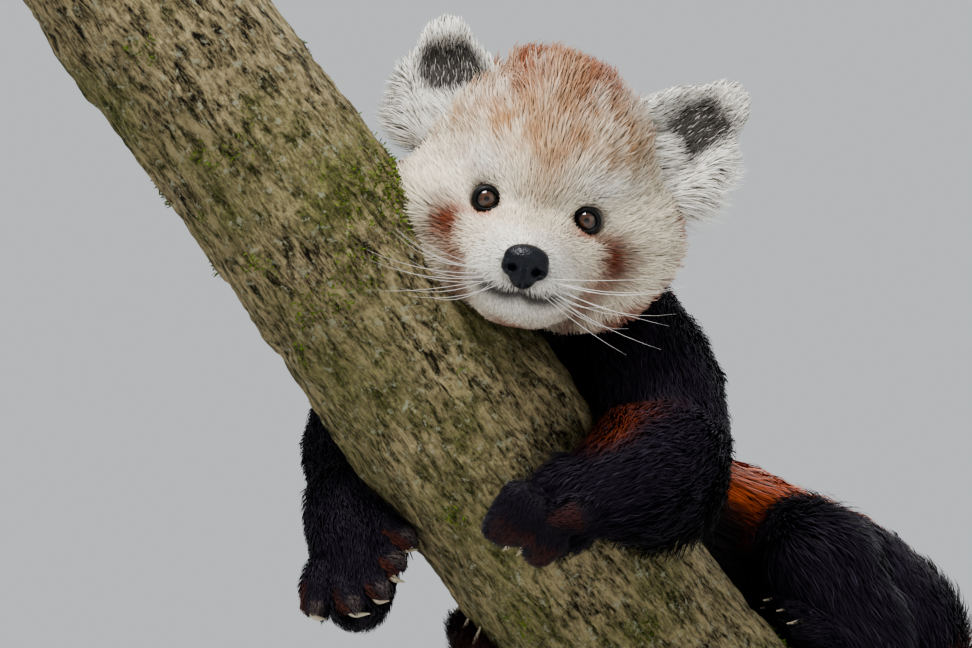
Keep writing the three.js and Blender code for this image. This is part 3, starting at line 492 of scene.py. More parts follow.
def coat_colour(points, region, t, dark_lead):
    # The animal's markings, for skin and hair alike
    rough = cloudy(points, 16, 5) - 0.5
    fine = cloudy(points, 5, 9) - 0.5
    radial = points - MARK
    radial = radial - np.outer(radial @ ALONG, ALONG)
    station = (points - MARK) @ ALONG + MARK_STATION
    height = radial @ outward(34)
    level = (points - view_middle) @ LOOK_UP
    aside = points[:, 0] - view_middle[0]
    result = np.tile(colour("#9C4419"), (len(points), 1))
    names = np.array(region_names + ["head"])[region]
    trunk = np.isin(names, ["torso", "neck"])
    # Back rust, brighter on the flanks, with the belly, chest and shoulders black
    flank = smooth_step(370, 420, station) * smooth_step(530, 450, station) * smooth_step(150, 120, height)
    result = blend(result, "#AA4C1A", 0.75 * flank * trunk)
    near_side = smooth_step(30, -5, radial @ FAR)
    edge = np.interp(station, [230, 290, 345, 385, 430, 560], [44, 54, 66, 76, 76, 80])
    shoulder = np.interp(station, [230, 290, 340, 372, 430, 560], [118, 134, 128, 92, 80, 84])
    edge = edge + (shoulder - edge) * near_side
    result = blend(result, "#1C1615", smooth_step(10, -10, height + 16 * rough - edge) * trunk)
    neck = names == "neck"
    if neck.any():
        middle = limbs["neck"].value(t[neck])[:, :3]
        throat = (points[neck] - middle) @ np.array([0.1, -0.86, -0.5]) / 45 + 0.5 * rough[neck]
        result[neck] = blend(result[neck], "#1C1615", smooth_step(0.0, 0.4, throat))
    # Legs and arms black with a blue-violet cast, the cast painted sheen, with rust over the thighs, on the
    # forearm and on the toes
    dark = smooth_step(-0.24, 0.16, dark_lead + 0.45 * rough + 0.2 * fine) * (region != HEAD_REGION)
    # The limbs' black carries a blue-violet cast: painted sheen.
    result = blend(result, "#201A25", dark)
    thighs = np.array([n.startswith("leg") and n.endswith("upper") for n in region_names] + [False])
    top_of_leg = thighs[region] * smooth_step(0.8, 0.4, t)
    result = blend(result, "#6B3015", 0.7 * top_of_leg * smooth_step(122, 150, height + 22 * rough))
    forearm = np.array([n.startswith("arm_left") for n in region_names] + [False])[region]
    forearm = forearm * smooth_step(-52, -66, points[:, 1])
    tilt = level + 45 - 0.22 * (aside - 60)
    band = np.exp(-(((aside - 60) / 21) ** 2 + ((tilt - 5 * rough) / 7.5) ** 2) ** 1.4)
    band += 0.55 * np.exp(-(((aside - 29) / 8) ** 2 + ((level + 56) / 5) ** 2))
    result = blend(result, "#6E2E12", np.clip(0.92 * forearm * band, 0, 1))
    for index, name in enumerate(region_names):
        mine = region == index
        if name.startswith("toe") and "front" in name and mine.any():
            middle, _, _, top = region_sweeps[index].frames(t[mine])
            upper = ((points[mine] - middle[:, :3]) * top).sum(axis=1) / 7.6
            bared, strong = (0.5, 0.42) if "left" in name else (0.2, 0.75)
            rust = smooth_step(bared, bared + 0.5, upper + 0.4 * fine[mine]) * smooth_step(0.2, 0.5, t[mine])
            toe = blend(result[mine], "#5E3224", strong * rust)
            worn = smooth_step(0.85, 1.0, t[mine]) * smooth_step(0.5, 0, upper)
            result[mine] = blend(toe, "#6E625E", 0.5 * worn)
    hind_foot = np.array(["right_hind" in n for n in region_names] + [False])[region]
    result = blend(result, "#5A2814", 0.55 * hind_foot * (0.6 + rough))
    sole = np.array([n.startswith("palm") for n in region_names] + [False])[region]
    result = blend(result, "#8A8076", 0.35 * sole * smooth_step(62, 54, np.linalg.norm(radial, axis=1)))
    local = to_head(points)
    # Tail ringed in rust and buff with a dark tip
    tail = np.array([n.startswith("tail") for n in region_names] + [False])[region]
    order = np.select([names == "tail_base", names == "tail_middle", names == "tail_tip"],
                      [t * 0.95, 0.95 + t * 0.8, 1.75 + t], 0)
    ring = smooth_step(-0.25, 0.35, np.sin(order * 15 + 1.2 * rough))
    ringed = blend(np.tile(colour("#8E3E18"), (len(points), 1)), "#C08A54", 0.8 * ring)
    result = np.where(tail[:, None], ringed, result)
    result = np.where((tail & (order > 2.5))[:, None], np.array(colour("#3A211A")), result)
    # Ears white at the rim, dark grey high inside the cup, rust behind
    for side in ("left", "right"):
        mine = names == f"ear_{side}"
        if mine.any():
            along, across, outer, front = ear_place(side, local[mine])
            inner = smooth_step(0.8, 0.42, across + 0.5 * rough[mine]) * front
            inner *= smooth_step(1.0, 0.78, along) * smooth_step(0.1, 0.3, along + 0.25 * fine[mine])
            pale = np.tile(colour("#F4EFE4"), (int(mine.sum()), 1))
            ear = blend(pale, "#26221F", 0.93 * inner)
            result[mine] = blend(ear, "#6E3A26", smooth_step(47, 52, local[mine][:, 1] + 3 * fine[mine]))
    on_head = region == HEAD_REGION
    if on_head.any():
        result[on_head] = head_colour(local[on_head])
        # Rust shows behind the cheeks, and the crown is the duller of the two
        behind = smooth_step(28, 46, local[:, 1] + 12 * rough) * smooth_step(34, 48, np.abs(local[:, 0]))
        behind = behind * smooth_step(24, 8, local[:, 2]) * on_head
        result = blend(result, "#8E4A30", 0.8 * behind)
        crown = (0.22 * smooth_step(18, 42, local[:, 2]) * on_head)[:, None]
        result = result * (1 - crown) + result.mean(axis=1)[:, None] * crown
    return np.clip(result * (1 + 0.25 * fine + 0.2 * rough)[:, None], 0, 1)


def paint(piece, values):
    layer = piece.data.color_attributes.new("coat", "FLOAT_COLOR", "POINT")
    full = np.ones((len(values), 4))
    full[:, :3] = values
    layer.data.foreach_set("color", full.ravel())


def add_node(tree, kind, settings=None, links=None):
    node = tree.nodes.new(kind)
    for key, value in (settings or {}).items():
        if isinstance(key, str) and hasattr(node, key):
            setattr(node, key, value)
        else:
            node.inputs[key].default_value = value
    for socket, source in (links or {}).items():
        tree.links.new(source, node.inputs[socket])
    return node


def per_metre(size):
    # Scale of a pattern whose grain is so many mm across
    return 1000 / size


def new_material(name):
    material = bpy.data.materials.new(name)
    material.use_nodes = True
    material.node_tree.nodes.clear()
    return material, material.node_tree


def finish_material(tree, shader):
    output = tree.nodes.new("ShaderNodeOutputMaterial")
    tree.links.new(shader.outputs[0], output.inputs["Surface"])


# Tanned hide, bare of oil: it gives a dull ground in the coat's own colours, darkened as painted shade under
# the fur, where the fur parts.
# Its pores are just over a millimetre, coarser than real ones, so that they show at all.
hide, tree = new_material("hide_under_fur")
coat = add_node(tree, "ShaderNodeAttribute", {"attribute_name": "coat"})
place = add_node(tree, "ShaderNodeTexCoord")
grain = add_node(tree, "ShaderNodeTexNoise", {"Scale": per_metre(1.111), "Detail": 3.0},
                 {"Vector": place.outputs["Object"]})
shade = add_node(tree, "ShaderNodeMix", {"data_type": "RGBA", "blend_type": "MULTIPLY", 0: 0.6})
tree.links.new(coat.outputs["Color"], shade.inputs[6])
tree.links.new(grain.outputs["Color"], shade.inputs[7])
bump = add_node(tree, "ShaderNodeBump", {"Strength": 0.5, "Distance": 0.0006},
                {"Height": grain.outputs["Fac"]})
surface = add_node(tree, "ShaderNodeBsdfPrincipled", {"Roughness": 0.85},
                   {"Base Color": shade.outputs[2], "Normal": bump.outputs["Normal"]})
finish_material(tree, surface)
skin_region, skin_t, skin_ahead, skin_dark = regions_of(skin_verts)
# The joins of trunk, shoulders and thighs are worked smooth; head, feet and ears keep their shape
plain_part = np.array([not n.startswith(("palm", "toe", "ear")) for n in region_names] + [False])
body_group = skin.vertex_groups.new(name="body")
body_group.add(np.flatnonzero(plain_part[skin_region]).tolist(), 1.0, "REPLACE")
smoothing = skin.modifiers.new("smooth_body", "SMOOTH")
smoothing.factor = 0.5
smoothing.iterations = 45
smoothing.vertex_group = "body"
apply_modifiers(skin)
skin_verts = np.empty(len(skin.data.vertices) * 3)
skin.data.vertices.foreach_get("co", skin_verts)
skin_verts = skin_verts.reshape(-1, 3) * 1000
skin.data.materials.append(hide)
# The skin takes the coat's markings at seven tenths of their brightness: painted shade under the fur.
paint(skin, coat_colour(skin_verts, skin_region, skin_t, skin_dark) * 0.7)
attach(skin, "root")
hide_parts("head", "ear_left", "ear_right", "neck", "torso", "arm_left_upper", "arm_left_lower",
            "arm_right_upper", "arm_right_lower", "leg_left_upper", "leg_left_lower", "leg_right_upper",
            "leg_right_lower", "tail_base", "tail_middle", "tail_tip", "paw_left_front", "paw_right_front",
            "paw_left_hind", "paw_right_hind")

# Fur
# Guard hairs in fine flat tufts, short on the face and feet and long on the ruff, back and tail.
# Each tuft grows from the skin, leans along the lie of the coat and bends down to a point.
skin.data.calc_loop_triangles()
triangles = np.empty(len(skin.data.loop_triangles) * 3, np.int32)
skin.data.loop_triangles.foreach_get("vertices", triangles)
triangles = triangles.reshape(-1, 3)
skin_normals = np.empty(len(skin.data.vertices) * 3)
skin.data.vertices.foreach_get("normal", skin_normals)
skin_normals = skin_normals.reshape(-1, 3)
corner = skin_verts[triangles]
areas = np.linalg.norm(np.cross(corner[:, 1] - corner[:, 0], corner[:, 2] - corner[:, 0]), axis=1) / 2
triangle_region = skin_region[triangles[:, 0]]
triangle_middle = corner.mean(axis=1)

# Length of hair, tufts on a square mm, width of a tuft, and how far it stands up
FUR = {"head": (9, 2.5, 0.6, 0.4), "ear": (5, 1.7, 0.5, 0.4), "neck": (21, 0.68, 1.05, 0.34),
       "torso": (23, 0.46, 1.15, 0.28), "arm": (14, 1.05, 0.8, 0.36), "leg": (17, 0.75, 0.95, 0.32),
       "palm": (7, 1.1, 0.65, 0.4), "toe": (3.2, 1.5, 0.5, 0.34), "tail": (26, 0.75, 1.1, 0.5)}
region_kind = [n.split("_")[0] for n in region_names] + ["head"]
density = np.array([FUR[k][1] for k in region_kind])[triangle_region]
local_middle = to_head(triangle_middle)
on_face = triangle_region == HEAD_REGION
density = np.where(on_face & (local_middle[:, 1] > 55), density * 0.5, density)
muzzle_near = on_face & (np.linalg.norm(local_middle - [0, -30, -28], axis=1) < 34)
density = np.where(muzzle_near, density * 1.7, density)
nose_bare = on_face & (np.hypot(local_middle[:, 0] / 10.5, (local_middle[:, 2] + 26) / 9.5) < 0.95) \
    & (local_middle[:, 1] < -20)
eye_bare = on_face & (np.hypot(np.abs(local_middle[:, 0]) - EYE_X, local_middle[:, 2]) < 6.0) \
    & (local_middle[:, 1] < 25)
density[nose_bare | eye_bare] = 0
# No fur grows into the bark
down_branch = (triangle_middle - MARK) @ ALONG + MARK_STATION
bark_gap = np.linalg.norm(triangle_middle - MARK - np.outer(down_branch - MARK_STATION, ALONG), axis=1)
in_bark = bark_gap < TOP_RADIUS - 1 + FLARE * down_branch / BRANCH_LENGTH
in_bark &= (down_branch > 0) & (down_branch < BRANCH_LENGTH)
density = np.where(in_bark, 0, density)


def claw_line(paw, end, point):
    # Horn from its root on top of the toe, over the bend, to the point; the left forepaw's stand higher
    rise = paws[paw][1] * {"left_front": 1.7}.get(paw, 1)
    return at(*end) + rise * 3.0, at(*end) * 0.45 + at(*point) * 0.55 + rise * 3.6, at(*point)


# The claws stand clear of the toes' hair
for paw in ("left_front", "right_front"):
    for root, end, point in paws[paw][2]:
        start, bend, sharp = claw_line(paw, end, point)
        for part in np.linspace(0.15, 1, 6):
            spot = start * (1 - part) ** 2 + bend * 2 * part * (1 - part) + sharp * part ** 2
            density[np.linalg.norm(triangle_middle - spot, axis=1) < 3.4] = 0

random = np.random.default_rng(7)
expected = areas * density
number = np.floor(expected + random.random(len(expected))).astype(int)
chosen = np.repeat(np.arange(len(triangles)), number)
u, v = random.random(len(chosen)), random.random(len(chosen))
flip = u + v > 1
u[flip], v[flip] = 1 - u[flip], 1 - v[flip]
share = np.stack([1 - u - v, u, v], 1)
roots = (corner[chosen] * share[:, :, None]).sum(axis=1)
normals = (skin_normals[triangles[chosen]] * share[:, :, None]).sum(axis=1)
normals /= np.linalg.norm(normals, axis=1)[:, None]
region = triangle_region[chosen]
t = skin_t[triangles[chosen, 0]]
ahead = skin_ahead[triangles[chosen, 0]]
kind = np.array(region_kind)[region]
local = to_head(roots)

# Lie of the coat: down the limbs, and on the head away from the nose, back over the crown and cheeks
lie = ahead.copy()
head_flow = local - np.array([0, -46, -30])
head_flow[:, 1] *= 0.9
head_flow[:, 2] += np.where(local[:, 2] < -10, -12, 6)
head_flow = head_flow @ HEAD_AXES
lie = np.where((region == HEAD_REGION)[:, None], head_flow, lie)
lie -= normals * (lie * normals).sum(axis=1)[:, None]
lie /= np.linalg.norm(lie, axis=1)[:, None] + 1e-9
length = np.array([FUR[k][0] for k in region_kind])[region].astype(float)
width = np.array([FUR[k][2] for k in region_kind])[region].astype(float)
lean = np.array([FUR[k][3] for k in region_kind])[region].astype(float)
head_part = region == HEAD_REGION
# The forearm's hair shortens to the wrist, the foot's to the toes; the left hind toes sink in it
part_name = np.array(region_names + ["head"])
wrist = np.char.startswith(part_name, "arm") & np.char.endswith(part_name, "lower")
length = np.where(wrist[region], length * np.interp(t, [0, 0.5, 1], [1, 0.75, 0.38]), length)
length = np.where(kind == "palm", length * np.interp(t, [0, 0.4, 1], [1.1, 0.85, 0.6]), length)
hind_toe = np.char.startswith(part_name, "toe_left_hind") | np.char.startswith(part_name, "toe_right_hind")
length = np.where(hind_toe[region], 9, length)
# Hair on the under side of the arms and feet hangs as a longer fringe
hang = smooth_step(0.2, 0.8, -normals @ LOOK_UP) * np.isin(kind, ["arm", "palm"])
length *= 1 + 0.9 * hang
lie -= LOOK_UP * 0.5 * hang[:, None]
# Long white fringe on the ears' outer edge and cream hair over the foot of the cup
for side, sign in (("left", 1), ("right", -1)):
    mine = part_name[region] == f"ear_{side}"
    along, across, outer, front = ear_place(side, local[mine])
    fringe = smooth_step(0.6, 0.9, across) * outer * smooth_step(0.8, 0.4, along)
    foot_hair = smooth_step(0.3, 0.1, along) * front
    length[mine] += (9 if side == "left" else 4) * fringe + 5 * foot_hair
    droop = (HEAD_AXES[0] * sign * 0.5 - HEAD_AXES[2])[None] * fringe[:, None] * 1.1
    lie[mine] += droop + HEAD_AXES[0][None] * sign * 0.8 * foot_hair[:, None]
swirl = np.stack([cloudy(roots, 14, s) - 0.5 for s in (21, 22, 23)], 1)
lie = lie + swirl * 0.7 + (random.random(lie.shape) - 0.5) * 0.35
lie -= normals * (lie * normals).sum(axis=1)[:, None]
lie /= np.linalg.norm(lie, axis=1)[:, None] + 1e-9
from_nose = np.linalg.norm((local - [0, -38, -28]), axis=1)
face_length = np.interp(from_nose, [8, 22, 36, 52, 75, 100], [2.2, 3.6, 5.5, 9, 15, 19])
near_eye = np.hypot(np.abs(local[:, 0]) - EYE_X, local[:, 2])
short_by_eye = np.minimum(face_length, 2.2 + np.maximum(near_eye - 6, 0) * 0.55)
face_length = np.where(local[:, 1] < 30, short_by_eye, face_length)
length = np.where(head_part, face_length, length)
width = np.where(head_part, np.interp(from_nose, [10, 40, 90], [0.34, 0.5, 0.75]), width)
length *= 0.7 + 0.55 * random.random(len(length))
clump = cloudy(roots, 9, 31)
lean = lean * (0.65 + 0.7 * clump) * (0.8 + 0.4 * random.random(len(lean)))
lean = np.where(head_part & (local[:, 1] > 30), np.minimum(lean, 4.5 / length), lean)
ear_foot = head_part & (local[:, 2] > 26) & (np.abs(local[:, 0]) > 22) & (local[:, 1] > 18)
length, lean = np.where(ear_foot, length * 0.6, length), np.where(ear_foot, 0.12, lean)
width *= 0.8 + 0.4 * random.random(len(width))
# Neighbouring tips are drawn together into locks, small on the face and feet
lock_size = np.interp(length, [3, 8, 25], [2.2, 4.5, 9])[:, None]
cells = np.floor(roots / lock_size)
middle_of_lock = np.stack([lattice(cells, s) for s in (51, 52, 53)], 1)
gather = (cells + 0.2 + 0.6 * middle_of_lock) * lock_size - roots
gather -= normals * (gather * normals).sum(axis=1)[:, None]

shade = coat_colour(roots, region, t, skin_dark[triangles[chosen, 0]])
shade *= (0.74 + 0.5 * random.random(len(shade)))[:, None]
# Rust-tipped guard hairs are scattered over the cream of the forehead, and pale grey-violet tips in the dark
# limbs, partly the coat's own grizzle and partly painted sheen
tipped = head_part & (local[:, 2] > 6) & (local[:, 1] < 50) & (np.abs(local[:, 0]) < 44)
tipped &= random.random(len(tipped)) < 0.2 + 0.3 * smooth_step(10, 50, local[:, 2])
tip_shade = shade * 1.15
tip_shade[tipped] = tip_shade[tipped] * 0.5 + np.array(colour("#8E5228")) * 0.5
# Pale grey-violet tips in the limbs: partly grizzled hairs, partly painted sheen for the black coat's bluish
# highlights.
grizzle_and_sheen_tips = np.isin(kind, ["arm", "leg", "palm"]) & (random.random(len(kind)) < 0.12)
tip_shade[grizzle_and_sheen_tips] = np.array(colour("#463D4C"))
greyed = (kind == "ear") & (random.random(len(kind)) < 0.16)
shade[greyed], tip_shade[greyed] = colour("#8F887E"), colour("#D8D2C8")

TUFT_PATCH, TILES = 0.003, 8


def atlas_place(region, t, points):
    # Place on an unwrap of the body: a tile for each limb, and a strip of its own for the head
    turn, along = np.zeros(len(points)), t.copy()
    for index, sweep in enumerate(region_sweeps):
        mine = region == index
        if mine.any():
            value, _, side, top = sweep.frames(t[mine])
            gap = points[mine] - value[:, :3]
            turn[mine] = np.arctan2((gap * top).sum(1), (gap * side).sum(1)) / (2 * math.pi) + 0.5
    head = region == HEAD_REGION
    core = to_head(points[head]) - [0, 24, -4]
    turn[head] = np.arctan2(core[:, 0], -core[:, 1]) / (2 * math.pi) + 0.5
    along[head] = np.arccos(np.clip(core[:, 2] / np.linalg.norm(core, axis=1), -1, 1)) / math.pi
    place = np.stack([region % TILES + 0.03 + 0.92 * turn, region // TILES + 0.03 + 0.92 * along], 1) / TILES
    place[head] = np.stack([0.5 + 0.49 * turn[head], 0.76 + 0.22 * along[head]], 1)
    return place


# Keratin hair, dry and clean: soft broad sheen and no hard glint; its colour is painted darker down between
# the tufts as painted shade.
# Streaks of 0.7 mm stand for single hairs, which are a tenth of that.
fur_coat, tree = new_material("guard_hair")
coat = add_node(tree, "ShaderNodeAttribute", {"attribute_name": "coat"})
place = add_node(tree, "ShaderNodeTexCoord")
strand = add_node(tree, "ShaderNodeTexNoise", {"Scale": per_metre(0.7143), "Detail": 2.0},
                  {"Vector": place.outputs["Object"]})
streak = add_node(tree, "ShaderNodeMapRange", {"To Min": 0.82, "To Max": 1.15},
                  {"Value": strand.outputs["Fac"]})
tone = add_node(tree, "ShaderNodeMix", {"data_type": "RGBA", "blend_type": "MULTIPLY", 0: 1.0})
tree.links.new(coat.outputs["Color"], tone.inputs[6])
tree.links.new(streak.outputs["Result"], tone.inputs[7])
surface = add_node(tree, "ShaderNodeBsdfPrincipled",
                   {"Roughness": 0.6, "Specular IOR Level": 0.14, "Sheen Weight": 0.06,
                    "Sheen Roughness": 0.4},
                   {"Base Color": tone.outputs[2]})
finish_material(tree, surface)


def grow_fur(name, mine):
    # Each tuft: a foot in the skin, two bends and a tip, as two quads and a triangle
    base, out, along = roots[mine], normals[mine], lie[mine]
    size, wide = length[mine][:, None], width[mine][:, None]
    rise = lean[mine][:, None]
    across = np.cross(along, out)
    roll = (random.random(len(base))[:, None] - 0.5) * 1.1
    across = across * np.cos(roll) + out * np.sin(roll)
    start = base - out * 0.6
    pull = gather[mine]
    first = base + (along * 0.36 + out * rise * 0.62) * size + pull * 0.1
    second = base + (along * 0.72 + out * rise * 0.945) * size + pull * 0.28
    tip = base + (along + out * rise * 0.875) * size + pull * 0.48
    n = len(base)
    verts = np.empty((n, 7, 3))
    verts[:, 0], verts[:, 1] = start - across * wide * 0.4, start + across * wide * 0.4
    verts[:, 2], verts[:, 3] = first - across * wide * 0.5, first + across * wide * 0.5
    verts[:, 4], verts[:, 5] = second - across * wide * 0.32, second + across * wide * 0.32
    verts[:, 6] = tip
    offset = (np.arange(n) * 7)[:, None]
    loops = (offset + np.array([[0, 1, 3, 2, 2, 3, 5, 4, 4, 5, 6]])).ravel()
    mesh = bpy.data.meshes.new(name)
    mesh.vertices.add(n * 7)
    mesh.vertices.foreach_set("co", (verts / 1000).ravel())
    mesh.loops.add(n * 11)
    mesh.loops.foreach_set("vertex_index", loops)
    mesh.polygons.add(n * 3)
    starts = (np.arange(n) * 11)[:, None] + np.array([[0, 4, 8]])
    mesh.polygons.foreach_set("loop_start", starts.ravel())
    mesh.polygons.foreach_set("use_smooth", np.ones(n * 3, bool))
    mesh.update(calc_edges=True)
    mesh.validate()
    # Hair is lit much as the body under it is, which keeps the coat soft
    flat = np.cross(across, along)
    flat *= np.sign((flat * out).sum(axis=1))[:, None]
    soft = out * 0.55 + flat * 0.45
    towards_tip = np.array([0, 0, 0.1, 0.1, 0.2, 0.2, 0.3])
    facing = np.repeat(soft[:, None], 7, axis=1) + along[:, None] * towards_tip[None, :, None]
    facing /= np.linalg.norm(facing, axis=2)[:, :, None]
    mesh.normals_split_custom_set_from_vertices(facing.reshape(-1, 3).tolist())
    piece = bpy.data.objects.new(name, mesh)
    bpy.context.scene.collection.objects.link(piece)
    # Each tuft is painted dark at its foot and lighter towards its tip: the dark foot is painted shade down
    # between the tufts.
    tones = np.empty((n, 7, 3))
    tones[:, 0:2] = shade[mine][:, None] * 0.45
    tones[:, 2:4] = shade[mine][:, None] * 0.86
    tones[:, 4:6] = (shade[mine] * 0.5 + tip_shade[mine] * 0.5)[:, None] * 1.03
    tones[:, 6] = tip_shade[mine]
    paint(piece, np.clip(tones.reshape(-1, 3), 0, 1))
    patch = np.array([[0, 0], [1, 0], [0, 0.36], [1, 0.36], [0.15, 0.72], [0.85, 0.72], [0.5, 1]])
    spots = atlas_place(region[mine], t[mine], base)[:, None] + patch[None] * TUFT_PATCH
    uv = mesh.uv_layers.new(name="OFBake")
    uv.data.foreach_set("uv", spots.reshape(-1, 2)[loops].ravel())
    mesh.materials.append(fur_coat)
    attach(piece, "root")


TRIANGLES_EACH, MOST_TRIANGLES = 5, 190000
sections = {
    "fur_face": (head_part & (local[:, 1] < 12), "face_fur"),
    "fur_cheeks": (head_part & (local[:, 1] >= 12) & (local[:, 1] < 45), "face_fur"),
    "fur_nape": (head_part & (local[:, 1] >= 45), "face_fur"),
    "fur_ears": (kind == "ear", "face_fur"),
    "fur_trunk": (np.isin(kind, ["neck", "torso"]), "red_fur"),
    "fur_arms": (kind == "arm", "dark_fur"),
    "fur_legs": (kind == "leg", "dark_fur"),
    "fur_paws": (np.isin(kind, ["palm", "toe"]), "dark_fur"),
    "fur_tail": (kind == "tail", "red_fur"),
}
for name, (mine, slot) in sections.items():
    parts = math.ceil(mine.sum() * TRIANGLES_EACH / MOST_TRIANGLES)
    which = np.flatnonzero(mine)
    for part in range(parts):
        chosen_part = np.zeros(len(mine), bool)
        chosen_part[which[part::parts]] = True
        grow_fur(f"{name}_{part + 1}" if parts > 1 else name, chosen_part)

# Eyes
# Two dark brown eyes with a round pupil, wet and glossy.
# Each is a fine ball coloured in rings from its gaze line, under a black rimmed lid.
PUPIL_RADIUS, IRIS_RADIUS = 1.5, 3.3
# Wet cornea over the iris: a clear coat with a small sharp glint, brown flecks of 0.6 mm beneath it
eye_wet, tree = new_material("wet_eye")
coat = add_node(tree, "ShaderNodeAttribute", {"attribute_name": "coat"})
place = add_node(tree, "ShaderNodeTexCoord")
fleck = add_node(tree, "ShaderNodeTexNoise", {"Scale": per_metre(0.625), "Detail": 2.0},
                 {"Vector": place.outputs["Object"]})
span = add_node(tree, "ShaderNodeMapRange", {"To Min": 0.75, "To Max": 1.25},
                {"Value": fleck.outputs["Fac"]})
tone = add_node(tree, "ShaderNodeMix", {"data_type": "RGBA", "blend_type": "MULTIPLY", 0: 1.0})
tree.links.new(coat.outputs["Color"], tone.inputs[6])
tree.links.new(span.outputs["Result"], tone.inputs[7])
surface = add_node(tree, "ShaderNodeBsdfPrincipled",
                   {"Roughness": 0.08, "IOR": 1.38, "Coat Weight": 1.0, "Coat Roughness": 0.02},
                   {"Base Color": tone.outputs[2]})
finish_material(tree, surface)

# Bare moist lid skin: black with a soft shine, its creases about 0.7 mm apart
lid_skin, tree = new_material("black_lid_skin")
place = add_node(tree, "ShaderNodeTexCoord")
pore = add_node(tree, "ShaderNodeTexNoise", {"Scale": per_metre(0.6667), "Detail": 3.0},
                {"Vector": place.outputs["Object"]})
tint = add_node(tree, "ShaderNodeMapRange", {"To Min": colour("#070707")[0], "To Max": colour("#161616")[0]},
                {"Value": pore.outputs["Fac"]})
bump = add_node(tree, "ShaderNodeBump", {"Strength": 0.4, "Distance": 0.0003},
                {"Height": pore.outputs["Fac"]})
surface = add_node(tree, "ShaderNodeBsdfPrincipled", {"Roughness": 0.45, "Specular IOR Level": 0.25},
                   {"Base Color": tint.outputs["Result"], "Normal": bump.outputs["Normal"]})
finish_material(tree, surface)

for side, name in ((1, "left"), (-1, "right")):
    centre = np.array([side * EYE_X, EYE_Y, 0])
    rings, sides = 48, 64
    polar = np.linspace(0, math.pi, rings + 1)
    turn = np.arange(sides) * 2 * math.pi / sides
    verts, tones = [], []
    for a in polar:
        off = EYE_RADIUS * math.sin(a)
        bulge = 1 + 0.045 * math.exp(-(a / 0.5) ** 4)
        for b in turn:
            forward = EYE_RADIUS * math.cos(a) * bulge
            verts.append(centre + np.array([off * math.cos(b), -forward, off * math.sin(b)]))
        spoke = 0.85 + 0.3 * np.random.default_rng(int(a * 1000) + 5).random(sides)
        if off < PUPIL_RADIUS and a < math.pi / 2:
            ring_tone = np.tile(colour("#060404"), (sides, 1))
        elif off < IRIS_RADIUS and a < math.pi / 2:
            ring_tone = np.array(colour("#4A2C18"))[None] * spoke[:, None]
            ring_tone = ring_tone * (1.1 - 0.25 * (off - PUPIL_RADIUS))
        else:
            ring_tone = np.tile(colour("#0C0706"), (sides, 1))
        tones.append(ring_tone)
    faces = [(i * sides + j, i * sides + (j + 1) % sides,
              (i + 1) * sides + (j + 1) % sides, (i + 1) * sides + j)
             for i in range(rings) for j in range(sides)]
    ball = make_object(f"eyeball_{name}", from_head(verts), faces)
    paint(ball, np.vstack(tones))
    ball.data.materials.append(eye_wet)
    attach(ball, "root")
    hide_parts(f"eye_{name}")
    # Lid: an almond ring rolled round the ball, thick above and tapering at the corners
    around = np.arange(72) * 2 * math.pi / 72
    verts = []
    for a in around:
        inner_corner = max(0.0, -side * math.cos(a)) ** 6
        wide, tall = 5.4 + 1.0 * inner_corner, 5.0 if math.sin(a) > 0 else 4.7
        x, z = wide * math.cos(a), tall * math.sin(a) - 1.1 * inner_corner
        slant = 0.22 * side
        x, z = x * math.cos(slant) + z * math.sin(slant), z * math.cos(slant) - x * math.sin(slant)
        radius = EYE_RADIUS + 0.45
        spot = np.array([x, -math.sqrt(max(radius ** 2 - x * x - z * z, 1)), z])
        out = spot / np.linalg.norm(spot)
        away = np.array([x, 0, z]) / math.hypot(x, z)
        away = away - out * away.dot(out)
        away /= np.linalg.norm(away)
        thick = 1.25 if math.sin(a) > 0 else 1.0
        for b in np.arange(12) * 2 * math.pi / 12:
            verts.append(centre + spot + out * 0.75 * math.cos(b) + away * (thick * math.sin(b) + 0.2))
    faces = [(i * 12 + j, i * 12 + (j + 1) % 12, (i + 1) % 72 * 12 + (j + 1) % 12, (i + 1) % 72 * 12 + j)
             for i in range(72) for j in range(12)]
    lid = make_object(f"lid_{name}", from_head(verts), faces)
    lid.data.materials.append(lid_skin)
    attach(lid, "root")

# Nose
# Bare black leather pad with comma nostrils, pebbled and slightly wet.
# Lumps are fused, then the nostrils and the middle furrow are pressed into the front.
nose_y = float(face_depth(0, -26)[0])
lumps = [((0, nose_y + 1.5, -23.0), (10.2, 7.0, 6.6)), ((0, nose_y + 0.8, -28.6), (6.8, 6.4, 7.8)),
         ((-6.2, nose_y + 1.6, -26.5), (4.4, 5.4, 5.0)), ((6.2, nose_y + 1.6, -26.5), (4.4, 5.4, 5.0))]
verts, faces, count = [], [], 0
for centre, size in lumps:
    bm = bmesh.new()
    bmesh.ops.create_icosphere(bm, subdivisions=4, radius=1)
    ball = np.array([v.co for v in bm.verts]) * size + centre
    faces += [[v.index + count for v in f.verts] for f in bm.faces]
    verts.append(from_head(ball))
    count += len(ball)
    bm.free()
nose = make_object("nose_pad", np.vstack(verts), faces)
remesh = nose.modifiers.new("fuse", "REMESH")
remesh.mode = "VOXEL"
remesh.voxel_size = 0.45 / 1000
remesh.use_smooth_shade = True
smoothing = nose.modifiers.new("smooth", "SMOOTH")
smoothing.factor = 0.5
smoothing.iterations = 8
apply_modifiers(nose)
spots = np.array([v.co for v in nose.data.vertices]) * 1000
local_nose = to_head(spots)
x, y, z = local_nose.T
press = np.zeros(len(local_nose))
